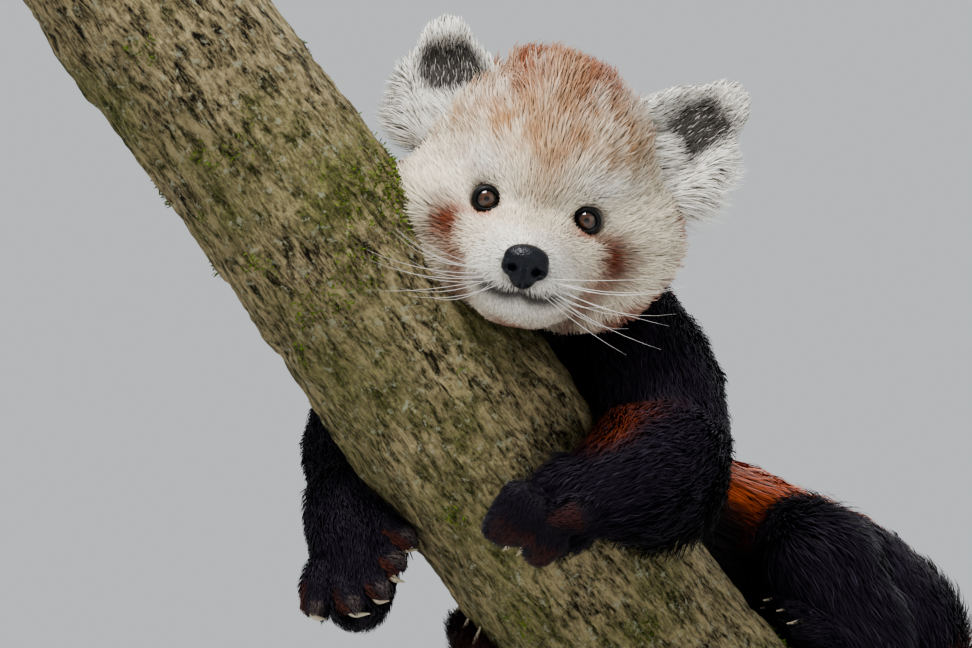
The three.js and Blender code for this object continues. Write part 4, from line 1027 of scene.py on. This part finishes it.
for side in (-1, 1):
    press += 3.4 * np.exp(-(((x - side * 5.0) / 1.6) ** 2 + ((z + 28.0) / 1.5) ** 2))
    curl = np.abs(z + 28.6 + 0.12 * (side * x - 7) ** 2 - 0.9)
    slit = smooth_step(4.6, 6.2, side * x) * smooth_step(10.4, 8.6, side * x)
    press += 1.7 * np.exp(-(curl / 0.9) ** 2) * slit
press += 1.1 * np.exp(-(x / 0.8) ** 2) * smooth_step(-23, -27, z)
local_nose[:, 1] += press * (y < nose_y + 3)
nose.data.vertices.foreach_set("co", (from_head(local_nose) / 1000).ravel())
# Hairless nose leather, pebbled at 0.8 mm and moist: blue-black with a broken highlight along the top
leather, tree = new_material("wet_nose_leather")
place = add_node(tree, "ShaderNodeTexCoord")
pebble = add_node(tree, "ShaderNodeTexVoronoi", {"Scale": per_metre(0.7692)},
                  {"Vector": place.outputs["Object"]})
ramp = add_node(tree, "ShaderNodeMix", {"data_type": "RGBA"}, {0: pebble.outputs["Distance"]})
ramp.inputs[6].default_value = (*colour("#0C0D12"), 1)
ramp.inputs[7].default_value = (*colour("#181B24"), 1)
bump = add_node(tree, "ShaderNodeBump", {"Strength": 0.5, "Distance": 0.0004},
                {"Height": pebble.outputs["Distance"]})
surface = add_node(tree, "ShaderNodeBsdfPrincipled", {"Roughness": 0.34, "Specular IOR Level": 0.32},
                   {"Base Color": ramp.outputs[2], "Normal": bump.outputs["Normal"]})
finish_material(tree, surface)
nose.data.materials.clear()
nose.data.materials.append(leather)
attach(nose, "root")
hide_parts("nose")

# Whiskers
# Long white bristles from the whisker pads and a few dark ones over the eyes.
# Each is a thin tapered tube that droops towards its tip.
def bristles(name, starts, ends, sag, thick, tone):
    verts, faces = [], []
    for start, end, drop in zip(starts, ends, sag):
        base = len(verts)
        for step in range(7):
            part = step / 6
            middle = start * (1 - part) + end * part + np.array([0, 0, 2.0]) * drop * part * (1 - part)
            radius = thick * (1 - 0.85 * part)
            ahead = (end - start) / np.linalg.norm(end - start)
            side = np.cross(ahead, [0, 1, 0.2])
            side /= np.linalg.norm(side)
            other = np.cross(ahead, side)
            for k in range(3):
                turn = k * 2 * math.pi / 3
                verts.append(middle + (side * math.cos(turn) + other * math.sin(turn)) * radius)
        for step in range(6):
            for k in range(3):
                a, b = base + step * 3 + k, base + step * 3 + (k + 1) % 3
                faces.append((a, b, b + 3, a + 3))
    piece = make_object(name, from_head(verts), faces)
    # Stiff keratin bristle: smooth, with a fine line of shine, a little uneven in tone along its length
    bristle, tree = new_material(f"{name}_keratin")
    place = add_node(tree, "ShaderNodeTexCoord")
    cloud = add_node(tree, "ShaderNodeTexNoise", {"Scale": per_metre(3.333)},
                     {"Vector": place.outputs["Object"]})
    ramp = add_node(tree, "ShaderNodeMix", {"data_type": "RGBA"}, {0: cloud.outputs["Fac"]})
    ramp.inputs[6].default_value = (*colour(tone[0]), 1)
    ramp.inputs[7].default_value = (*colour(tone[1]), 1)
    surface = add_node(tree, "ShaderNodeBsdfPrincipled", {"Roughness": 0.35},
                       {"Base Color": ramp.outputs[2]})
    finish_material(tree, surface)
    piece.data.materials.append(bristle)
    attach(piece, "root")


draw = np.random.default_rng(19)
starts, ends, sag = [], [], []
for side in (-1, 1):
    for row in range(3):
        for k in range(4):
            x = side * (9 + 3.2 * k + draw.random())
            z = -30.5 - 3.2 * row + draw.random()
            start = np.array([x, face_depth(x, z)[0] + 0.6, z])
            reach = 34 + 26 * draw.random() - 3 * row
            rise = 0.12 - 0.26 * row + 0.16 * draw.random()
            aim = np.array([side * (0.9 + 0.1 * k), 0.05 + 0.1 * k, rise])
            starts.append(start)
            ends.append(start + aim / np.linalg.norm(aim) * reach)
            sag.append(-9 * draw.random() - 2)
bristles("whiskers", starts, ends, sag, 0.22, ("#D8D2C8", "#F4F2EE"))
starts, ends, sag = [], [], []
for side in (-1, 1):
    for k in range(6):
        x, z = side * (17 + 2.2 * k), 9 + 1.2 * draw.random()
        start = np.array([x, face_depth(x, z)[0] + 0.6, z])
        aim = np.array([side * (0.1 + 0.1 * k), -0.5, 1])
        starts.append(start)
        ends.append(start + aim / np.linalg.norm(aim) * (12 + 10 * draw.random()))
        sag.append(1.0)
bristles("brow_bristles", starts, ends, sag, 0.11, ("#2A2422", "#4A403C"))

# Claws
# Curved ivory horn sheaths, darker at the root, part hidden by the toe fur.
# Each is a fine swept cone with growth lines along it, close to the line of the solid's own claw.
# Horn, grown and worn smooth: pale and waxy, with clouds of brown 4 mm long towards the root.
horn, tree = new_material("ivory_horn")
place = add_node(tree, "ShaderNodeTexCoord")
growth = add_node(tree, "ShaderNodeTexNoise", {"Scale": per_metre(3.846), "Detail": 4.0},
                  {"Vector": place.outputs["Object"]})
ramp = add_node(tree, "ShaderNodeMix", {"data_type": "RGBA"}, {0: growth.outputs["Fac"]})
ramp.inputs[6].default_value = (*colour("#8C7C62"), 1)
ramp.inputs[7].default_value = (*colour("#DDD2B8"), 1)
bump = add_node(tree, "ShaderNodeBump", {"Strength": 0.2, "Distance": 0.0002},
                {"Height": growth.outputs["Fac"]})
surface = add_node(tree, "ShaderNodeBsdfPrincipled", {"Roughness": 0.32},
                   {"Base Color": ramp.outputs[2], "Normal": bump.outputs["Normal"]})
finish_material(tree, surface)
for paw, (palm, up, toes) in paws.items():
    for digit, (root, end, point) in enumerate(toes):
        start, bend, sharp = claw_line(paw, end, point)
        verts, faces = Sweep([(start, 1.7, 2.1), (bend, 1.2, 1.7), (sharp, 0.3, 0.4)], up).mesh(18, 14)
        claw = make_object(f"horn_claw_{paw}_{digit + 1}", verts, faces)
        claw.data.materials.append(horn)
        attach(claw, "root")
        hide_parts(f"claw_{paw}_{digit + 1}")

# Perch
# A cut length of living branch with furrowed, mossy bark and sawn ends.
# The bark is a fine tube pushed in and out by stretched ridges, cracks and knots.
rows, sides = 420, 170
station = np.linspace(0, BRANCH_LENGTH, rows + 1)
turn = np.arange(sides) * 2 * math.pi / sides
grid_s, grid_a = np.meshgrid(station, turn, indexing="ij")
grid_s, grid_a = grid_s.ravel(), grid_a.ravel()
radius = TOP_RADIUS + FLARE * grid_s / BRANCH_LENGTH
ring_x, ring_y = np.cos(grid_a) * radius, np.sin(grid_a) * radius
ring_place = np.stack([ring_x, ring_y, grid_s * 0.28], 1)
ridges = np.abs(cloudy(ring_place, 5.5, 41) - 0.5) * 2
broad = cloudy(ring_place, 17, 42)
fine = cloudy(np.stack([ring_x, ring_y, grid_s], 1), 3.2, 43)
knots = smooth_step(0.72, 0.9, cloudy(np.stack([ring_x, ring_y, grid_s * 0.6], 1), 26, 44))
push = -2.0 + 2.6 * ridges + 2.0 * (broad - 0.5) + 1.1 * (fine - 0.5) + 2.4 * knots
bow = 5 * np.sin(math.pi * grid_s / BRANCH_LENGTH)
edge = np.minimum(grid_s, BRANCH_LENGTH - grid_s)
radius = radius + push * smooth_step(0, 5, edge) - 0.8 * smooth_step(3, 0, edge)
verts = (MARK + np.outer(grid_s - MARK_STATION, ALONG) + np.outer(np.cos(grid_a) * radius - bow, TOP)
         + np.outer(np.sin(grid_a) * radius, FAR))
faces = [(i * sides + (j + 1) % sides, (i + 1) * sides + (j + 1) % sides, (i + 1) * sides + j, i * sides + j)
         for i in range(rows) for j in range(sides)]
first, last = len(verts), len(verts) + 1
ends = [MARK - ALONG * MARK_STATION, MARK + ALONG * (BRANCH_LENGTH - MARK_STATION)]
verts = np.vstack([verts, ends])
faces += [(j, (j + 1) % sides, first) for j in range(sides)]
faces += [(rows * sides + (j + 1) % sides, rows * sides + j, last) for j in range(sides)]
branch = make_object("branch", verts, faces)
branch.data.polygons.foreach_set("material_index", [0] * (rows * sides) + [1] * (2 * sides))
# Living bark: rough and dry with no shine, buff flakes over dark furrows (their dark partly the bark's own,
# partly painted shade) that run along the branch, clouded with moss and flecked with grey lichen. The
# patterns are turned to follow the branch.
bark, tree = new_material("mossy_bark")
place = add_node(tree, "ShaderNodeTexCoord")
headed = add_node(tree, "ShaderNodeMapping", {"Rotation": (0, 0, -HEADING)},
                  {"Vector": place.outputs["Object"]})
turned = add_node(tree, "ShaderNodeMapping", {"Rotation": (0, math.pi / 2 - SLOPE, 0)},
                  {"Vector": headed.outputs["Vector"]})
stretched = add_node(tree, "ShaderNodeMapping", {"Scale": (1.0, 1.0, 0.33)},
                     {"Vector": turned.outputs["Vector"]})
flake = add_node(tree, "ShaderNodeTexNoise",
                 {"Scale": per_metre(1.17647), "Detail": 10.0, "Roughness": 0.75, "Distortion": 0.3},
                 {"Vector": stretched.outputs["Vector"]})
furrow = add_node(tree, "ShaderNodeTexNoise",
                  {"Scale": per_metre(4.7619), "Detail": 6.0, "Roughness": 0.6, "Distortion": 0.8},
                  {"Vector": stretched.outputs["Vector"]})
ridge = add_node(tree, "ShaderNodeMix", {"data_type": "RGBA", 0: 0.5})
tree.links.new(flake.outputs["Fac"], ridge.inputs[6])
tree.links.new(furrow.outputs["Fac"], ridge.inputs[7])
patch = add_node(tree, "ShaderNodeTexNoise", {"Scale": per_metre(62.5), "Detail": 6.0},
                 {"Vector": place.outputs["Object"]})
speck = add_node(tree, "ShaderNodeTexNoise", {"Scale": per_metre(1.92308), "Detail": 6.0},
                 {"Vector": place.outputs["Object"]})
lichen = add_node(tree, "ShaderNodeTexNoise", {"Scale": per_metre(4.16667), "Detail": 8.0, "Roughness": 0.7},
                  {"Vector": place.outputs["Object"]})
# Dark where the bark's bumps are low, buff where they are high: partly the bark's own colour, partly painted
# shade in the furrows.
wood_tone = add_node(tree, "ShaderNodeValToRGB", None, {"Fac": ridge.outputs[2]})
wood_tone.color_ramp.elements[0].position = 0.42
wood_tone.color_ramp.elements[0].color = (*colour("#1A150D"), 1)
wood_tone.color_ramp.elements[1].position = 0.58
wood_tone.color_ramp.elements[1].color = (*colour("#B5A57E"), 1)
moss_share = add_node(tree, "ShaderNodeMapRange", {"From Min": 0.44, "From Max": 0.64, "To Max": 0.55},
                      {"Value": patch.outputs["Fac"]})
mossy = add_node(tree, "ShaderNodeMix", {"data_type": "RGBA"}, {0: moss_share.outputs["Result"]})
tree.links.new(wood_tone.outputs["Color"], mossy.inputs[6])
green = add_node(tree, "ShaderNodeValToRGB", None, {"Fac": speck.outputs["Fac"]})
green.color_ramp.elements[0].position = 0.35
green.color_ramp.elements[0].color = (*colour("#2E3316"), 1)
green.color_ramp.elements[1].position = 0.7
green.color_ramp.elements[1].color = (*colour("#7C8440"), 1)
tree.links.new(green.outputs["Color"], mossy.inputs[7])
pale_share = add_node(tree, "ShaderNodeMapRange", {"From Min": 0.57, "From Max": 0.63, "To Max": 0.75},
                      {"Value": lichen.outputs["Fac"]})
pale = add_node(tree, "ShaderNodeMix", {"data_type": "RGBA"}, {0: pale_share.outputs["Result"]})
tree.links.new(mossy.outputs[2], pale.inputs[6])
pale.inputs[7].default_value = (*colour("#A5A78F"), 1)
height = add_node(tree, "ShaderNodeMath", {"operation": "MULTIPLY_ADD", 1: 0.4})
tree.links.new(speck.outputs["Fac"], height.inputs[0])
tree.links.new(ridge.outputs[2], height.inputs[2])
bump = add_node(tree, "ShaderNodeBump", {"Strength": 1.0, "Distance": 0.0035},
                {"Height": height.outputs["Value"]})
surface = add_node(tree, "ShaderNodeBsdfPrincipled", {"Roughness": 0.92, "Specular IOR Level": 0.2},
                   {"Base Color": pale.outputs[2], "Normal": bump.outputs["Normal"]})
finish_material(tree, surface)
# Fresh saw cut across the grain: matt, with pale and darker growth rings 5 mm apart round the heart
sawn, tree = new_material("sawn_wood")
place = add_node(tree, "ShaderNodeTexCoord")
centred = add_node(tree, "ShaderNodeMapping", {"Location": tuple(-MARK / 1000)},
                   {"Vector": place.outputs["Object"]})
headed = add_node(tree, "ShaderNodeMapping", {"Rotation": (0, 0, -HEADING)},
                  {"Vector": centred.outputs["Vector"]})
turned = add_node(tree, "ShaderNodeMapping", {"Rotation": (0, math.pi / 2 - SLOPE, 0)},
                  {"Vector": headed.outputs["Vector"]})
WAVE_AT_ONE = 2 * math.pi / 20
rings = add_node(tree, "ShaderNodeTexWave",
                 {"wave_type": "RINGS", "rings_direction": "Z", "Scale": per_metre(5.236) * WAVE_AT_ONE,
                  "Distortion": 2.5, "Detail": 3.0}, {"Vector": turned.outputs["Vector"]})
ramp = add_node(tree, "ShaderNodeMix", {"data_type": "RGBA"}, {0: rings.outputs["Fac"]})
ramp.inputs[6].default_value = (*colour("#B79468"), 1)
ramp.inputs[7].default_value = (*colour("#D8BC90"), 1)
bump = add_node(tree, "ShaderNodeBump", {"Strength": 0.3, "Distance": 0.0005},
                {"Height": rings.outputs["Fac"]})
surface = add_node(tree, "ShaderNodeBsdfPrincipled", {"Roughness": 0.8},
                   {"Base Color": ramp.outputs[2], "Normal": bump.outputs["Normal"]})
finish_material(tree, surface)
branch.data.materials.append(bark)
branch.data.materials.append(sawn)
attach(branch, "root")
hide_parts("perch")

# Moss
# Bright cushion moss on the branch by the animal's cheek, with a little more along the bark.
# Each shoot is a small leaf-shaped blade standing out of the bark.
draw = np.random.default_rng(23)
surface_at = verts[:-2].reshape(rows + 1, sides, 3)
TRIED = 240000
pick_row, pick_side = draw.integers(8, rows - 8, TRIED), draw.integers(0, sides, TRIED)
spots = surface_at[pick_row, pick_side] + draw.normal(0, 0.6, (TRIED, 3))
aside, level = spots[:, 0] - view_middle[0], (spots - view_middle) @ LOOK_UP
cushion = np.exp(-((aside + 52) / 20) ** 2 - ((level - 56) / 17) ** 2) * (spots[:, 1] < -85)
stray = smooth_step(0.78, 0.88, cloudy(spots, 22, 61)) * 0.5
keep = draw.random(len(spots)) < (cushion * smooth_step(0.3, 0.6, cloudy(spots, 6, 62)) * 0.9 + stray) * 0.6
spots, axis_at = spots[keep], pick_row[keep] * BRANCH_LENGTH / rows
out = spots - (MARK + np.outer(axis_at - MARK_STATION, ALONG))
out /= np.linalg.norm(out, axis=1)[:, None]
stem = out + draw.normal(0, 0.45, out.shape)
stem /= np.linalg.norm(stem, axis=1)[:, None]
across = np.cross(stem, draw.normal(0, 1, out.shape))
across /= np.linalg.norm(across, axis=1)[:, None]
tall = draw.uniform(1.2, 3.2, (len(spots), 1))
shoots = np.stack([spots - across * 0.3, spots + across * 0.3, spots + stem * tall * 0.6 + across * 0.35,
                   spots + stem * tall, spots + stem * tall * 0.6 - across * 0.35], 1)
leaves = (np.arange(len(spots))[:, None] * 5 + np.arange(5)).tolist()
moss = make_object("moss_cushion", shoots.reshape(-1, 3), leaves)
# Living moss: soft and matt, yellow-green tips over dark stems in clouds 2.5 mm across
moss_green, tree = new_material("cushion_moss")
place = add_node(tree, "ShaderNodeTexCoord")
mottle = add_node(tree, "ShaderNodeTexNoise", {"Scale": per_metre(2.5), "Detail": 3.0},
                  {"Vector": place.outputs["Object"]})
ramp = add_node(tree, "ShaderNodeMix", {"data_type": "RGBA"}, {0: mottle.outputs["Fac"]})
ramp.inputs[6].default_value = (*colour("#2C3A0C"), 1)
ramp.inputs[7].default_value = (*colour("#73902A"), 1)
surface = add_node(tree, "ShaderNodeBsdfPrincipled", {"Roughness": 0.8, "Specular IOR Level": 0.2},
                   {"Base Color": ramp.outputs[2]})
finish_material(tree, surface)
moss.data.materials.append(moss_green)
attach(moss, "root")

# Stand
# A flat powder-coated plate and two brushed steel rods that hold the perch up.
# Edges are rounded, and the rods are drawn bar let into the plate and the wood.
# Baked powder coat: even near-black with a low sheen and a faint orange peel 1 mm across.
powder, tree = new_material("black_powder_coat")
place = add_node(tree, "ShaderNodeTexCoord")
peel = add_node(tree, "ShaderNodeTexNoise", {"Scale": per_metre(1.111), "Detail": 2.0},
                {"Vector": place.outputs["Object"]})
tint = add_node(tree, "ShaderNodeMapRange", {"To Min": colour("#1D1D1D")[0], "To Max": colour("#292929")[0]},
                {"Value": peel.outputs["Fac"]})
bump = add_node(tree, "ShaderNodeBump", {"Strength": 0.25, "Distance": 0.0002},
                {"Height": peel.outputs["Fac"]})
surface = add_node(tree, "ShaderNodeBsdfPrincipled", {"Roughness": 0.45},
                   {"Base Color": tint.outputs["Result"], "Normal": bump.outputs["Normal"]})
finish_material(tree, surface)
PLATE_HALF_LENGTH, PLATE_HALF_WIDTH, PLATE_CORNER, PLATE_THICK, PLATE_EDGE = 230, 180, 30, 20, 0.8
verts, faces, outline = [], [], []
for across, deep, begin in ((1, 1, 0), (-1, 1, 90), (-1, -1, 180), (1, -1, 270)):
    x, y = across * (PLATE_HALF_LENGTH - PLATE_CORNER), deep * (PLATE_HALF_WIDTH - PLATE_CORNER)
    outline += [(x, y, math.radians(begin + 7.5 * k)) for k in range(13)]
for inset, z in ((PLATE_EDGE, 0), (0, PLATE_EDGE), (0, PLATE_THICK - PLATE_EDGE), (PLATE_EDGE, PLATE_THICK)):
    for x, y, a in outline:
        reach = PLATE_CORNER - inset
        verts.append((x + reach * math.cos(a), y + reach * math.sin(a), z))
n = len(outline)
for ring in range(3):
    for j in range(n):
        k = (j + 1) % n
        faces.append((ring * n + j, ring * n + k, (ring + 1) * n + k, (ring + 1) * n + j))
faces.append(tuple(range(n))[::-1])
faces.append(tuple(range(3 * n, 4 * n)))
plate = make_object("stand_plate", verts, faces, smooth=False)
plate.data.materials.append(powder)
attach(plate, "root")
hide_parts("stand_base")

# Stainless bar brushed along its length: bright metal whose highlight is drawn out across the rod.
# Its lines are 0.7 mm apart, coarser than real ones, so that they show.
drawn, tree = new_material("brushed_steel")
place = add_node(tree, "ShaderNodeTexCoord")
fine_lines = add_node(tree, "ShaderNodeMapping", {"Scale": (1, 1, 0.03)},
                      {"Vector": place.outputs["Object"]})
lines = add_node(tree, "ShaderNodeTexNoise", {"Scale": per_metre(0.6667), "Detail": 2.0},
                 {"Vector": fine_lines.outputs["Vector"]})
rough = add_node(tree, "ShaderNodeMapRange", {"To Min": 0.22, "To Max": 0.4},
                 {"Value": lines.outputs["Fac"]})
surface = add_node(tree, "ShaderNodeBsdfPrincipled",
                   {"Metallic": 1.0, "Base Color": (*colour("#C4C6C8"), 1)},
                   {"Roughness": rough.outputs["Result"]})
finish_material(tree, surface)
ROD_RADIUS, ROD_SIDES = 8, 48
for node_name, station in (("stand_rod_upper", 400), ("stand_rod_lower", 560)):
    foot = at(station, 0, 0)
    low_corner, high_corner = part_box(node_name)
    bottom, top = low_corner[2] * 1000, high_corner[2] * 1000
    verts, faces = [], []
    for inset, z in ((0.6, bottom), (0, bottom + 0.6), (0, top - 2), (0, top)):
        for k in range(ROD_SIDES):
            a, reach = k * 2 * math.pi / ROD_SIDES, ROD_RADIUS - inset
            verts.append((foot[0] + reach * math.cos(a), foot[1] + reach * math.sin(a), z))
    for ring in range(3):
        for j in range(ROD_SIDES):
            low, high, k = ring * ROD_SIDES, (ring + 1) * ROD_SIDES, (j + 1) % ROD_SIDES
            faces.append((low + j, low + k, high + k, high + j))
    faces.append(tuple(range(ROD_SIDES))[::-1])
    faces.append(tuple(range(3 * ROD_SIDES, 4 * ROD_SIDES)))
    rod = make_object(f"steel_{node_name[6:]}", verts, faces)
    rod.data.materials.append(drawn)
    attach(rod, "root")
    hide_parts(node_name)

# Floor
# A plain pale studio floor that the stand's plate rests on.
# It is one painted sheet that runs back out of sight, and is not part of the model.
floor = make_object("floor", [(-6000, -6000, 0), (6000, -6000, 0), (6000, 9000, 0), (-6000, 9000, 0)],
                    [(0, 1, 2, 3)], smooth=False)
# Matt emulsion paint: an even pale grey, with clouds a third of a metre wide that hardly show
pale_floor, tree = new_material("pale_floor")
place = add_node(tree, "ShaderNodeTexCoord")
cloud = add_node(tree, "ShaderNodeTexNoise", {"Scale": per_metre(333.33)},
                 {"Vector": place.outputs["Object"]})
tint = add_node(tree, "ShaderNodeMapRange", {"To Min": colour("#CECECE")[0], "To Max": colour("#D7D7D7")[0]},
                {"Value": cloud.outputs["Fac"]})
surface = add_node(tree, "ShaderNodeBsdfPrincipled", {"Roughness": 0.9},
                   {"Base Color": tint.outputs["Result"]})
finish_material(tree, surface)
floor.data.materials.append(pale_floor)

# Light
# Soft daylight: a broad key from the upper left front, a fill and a rim from behind on the right.
# Three square lamps on an evenly lit pale room.
world = bpy.data.worlds.new("studio")
bpy.context.scene.world = world
world.use_nodes = True
world.node_tree.nodes["Background"].inputs[0].default_value = (*colour("#EEF2F4"), 1)
world.node_tree.nodes["Background"].inputs[1].default_value = 0.62
for name, spot, aim, power, size in (
        ("key", (-0.7, -1.5, 2.6), (0.0, -0.1, 0.55), 88, 1.0),
        ("fill", (1.8, -2.2, 0.9), (0.0, 0.0, 0.5), 10, 2.0),
        ("rim", (1.5, 1.9, 1.9), (0.05, 0.0, 0.55), 28, 1.2)):
    data = bpy.data.lights.new(name, "AREA")
    data.energy = power
    data.size = size
    lamp = bpy.data.objects.new(name, data)
    bpy.context.scene.collection.objects.link(lamp)
    lamp.location = spot
    away = np.array(aim) - np.array(spot)
    flat = math.hypot(away[0], away[1])
    lamp.rotation_euler = (math.atan2(flat, -away[2]), 0, math.atan2(-away[0], away[1]))
bpy.context.scene.view_settings.view_transform = "AgX"
bpy.context.scene.view_settings.look = "AgX - Medium High Contrast"
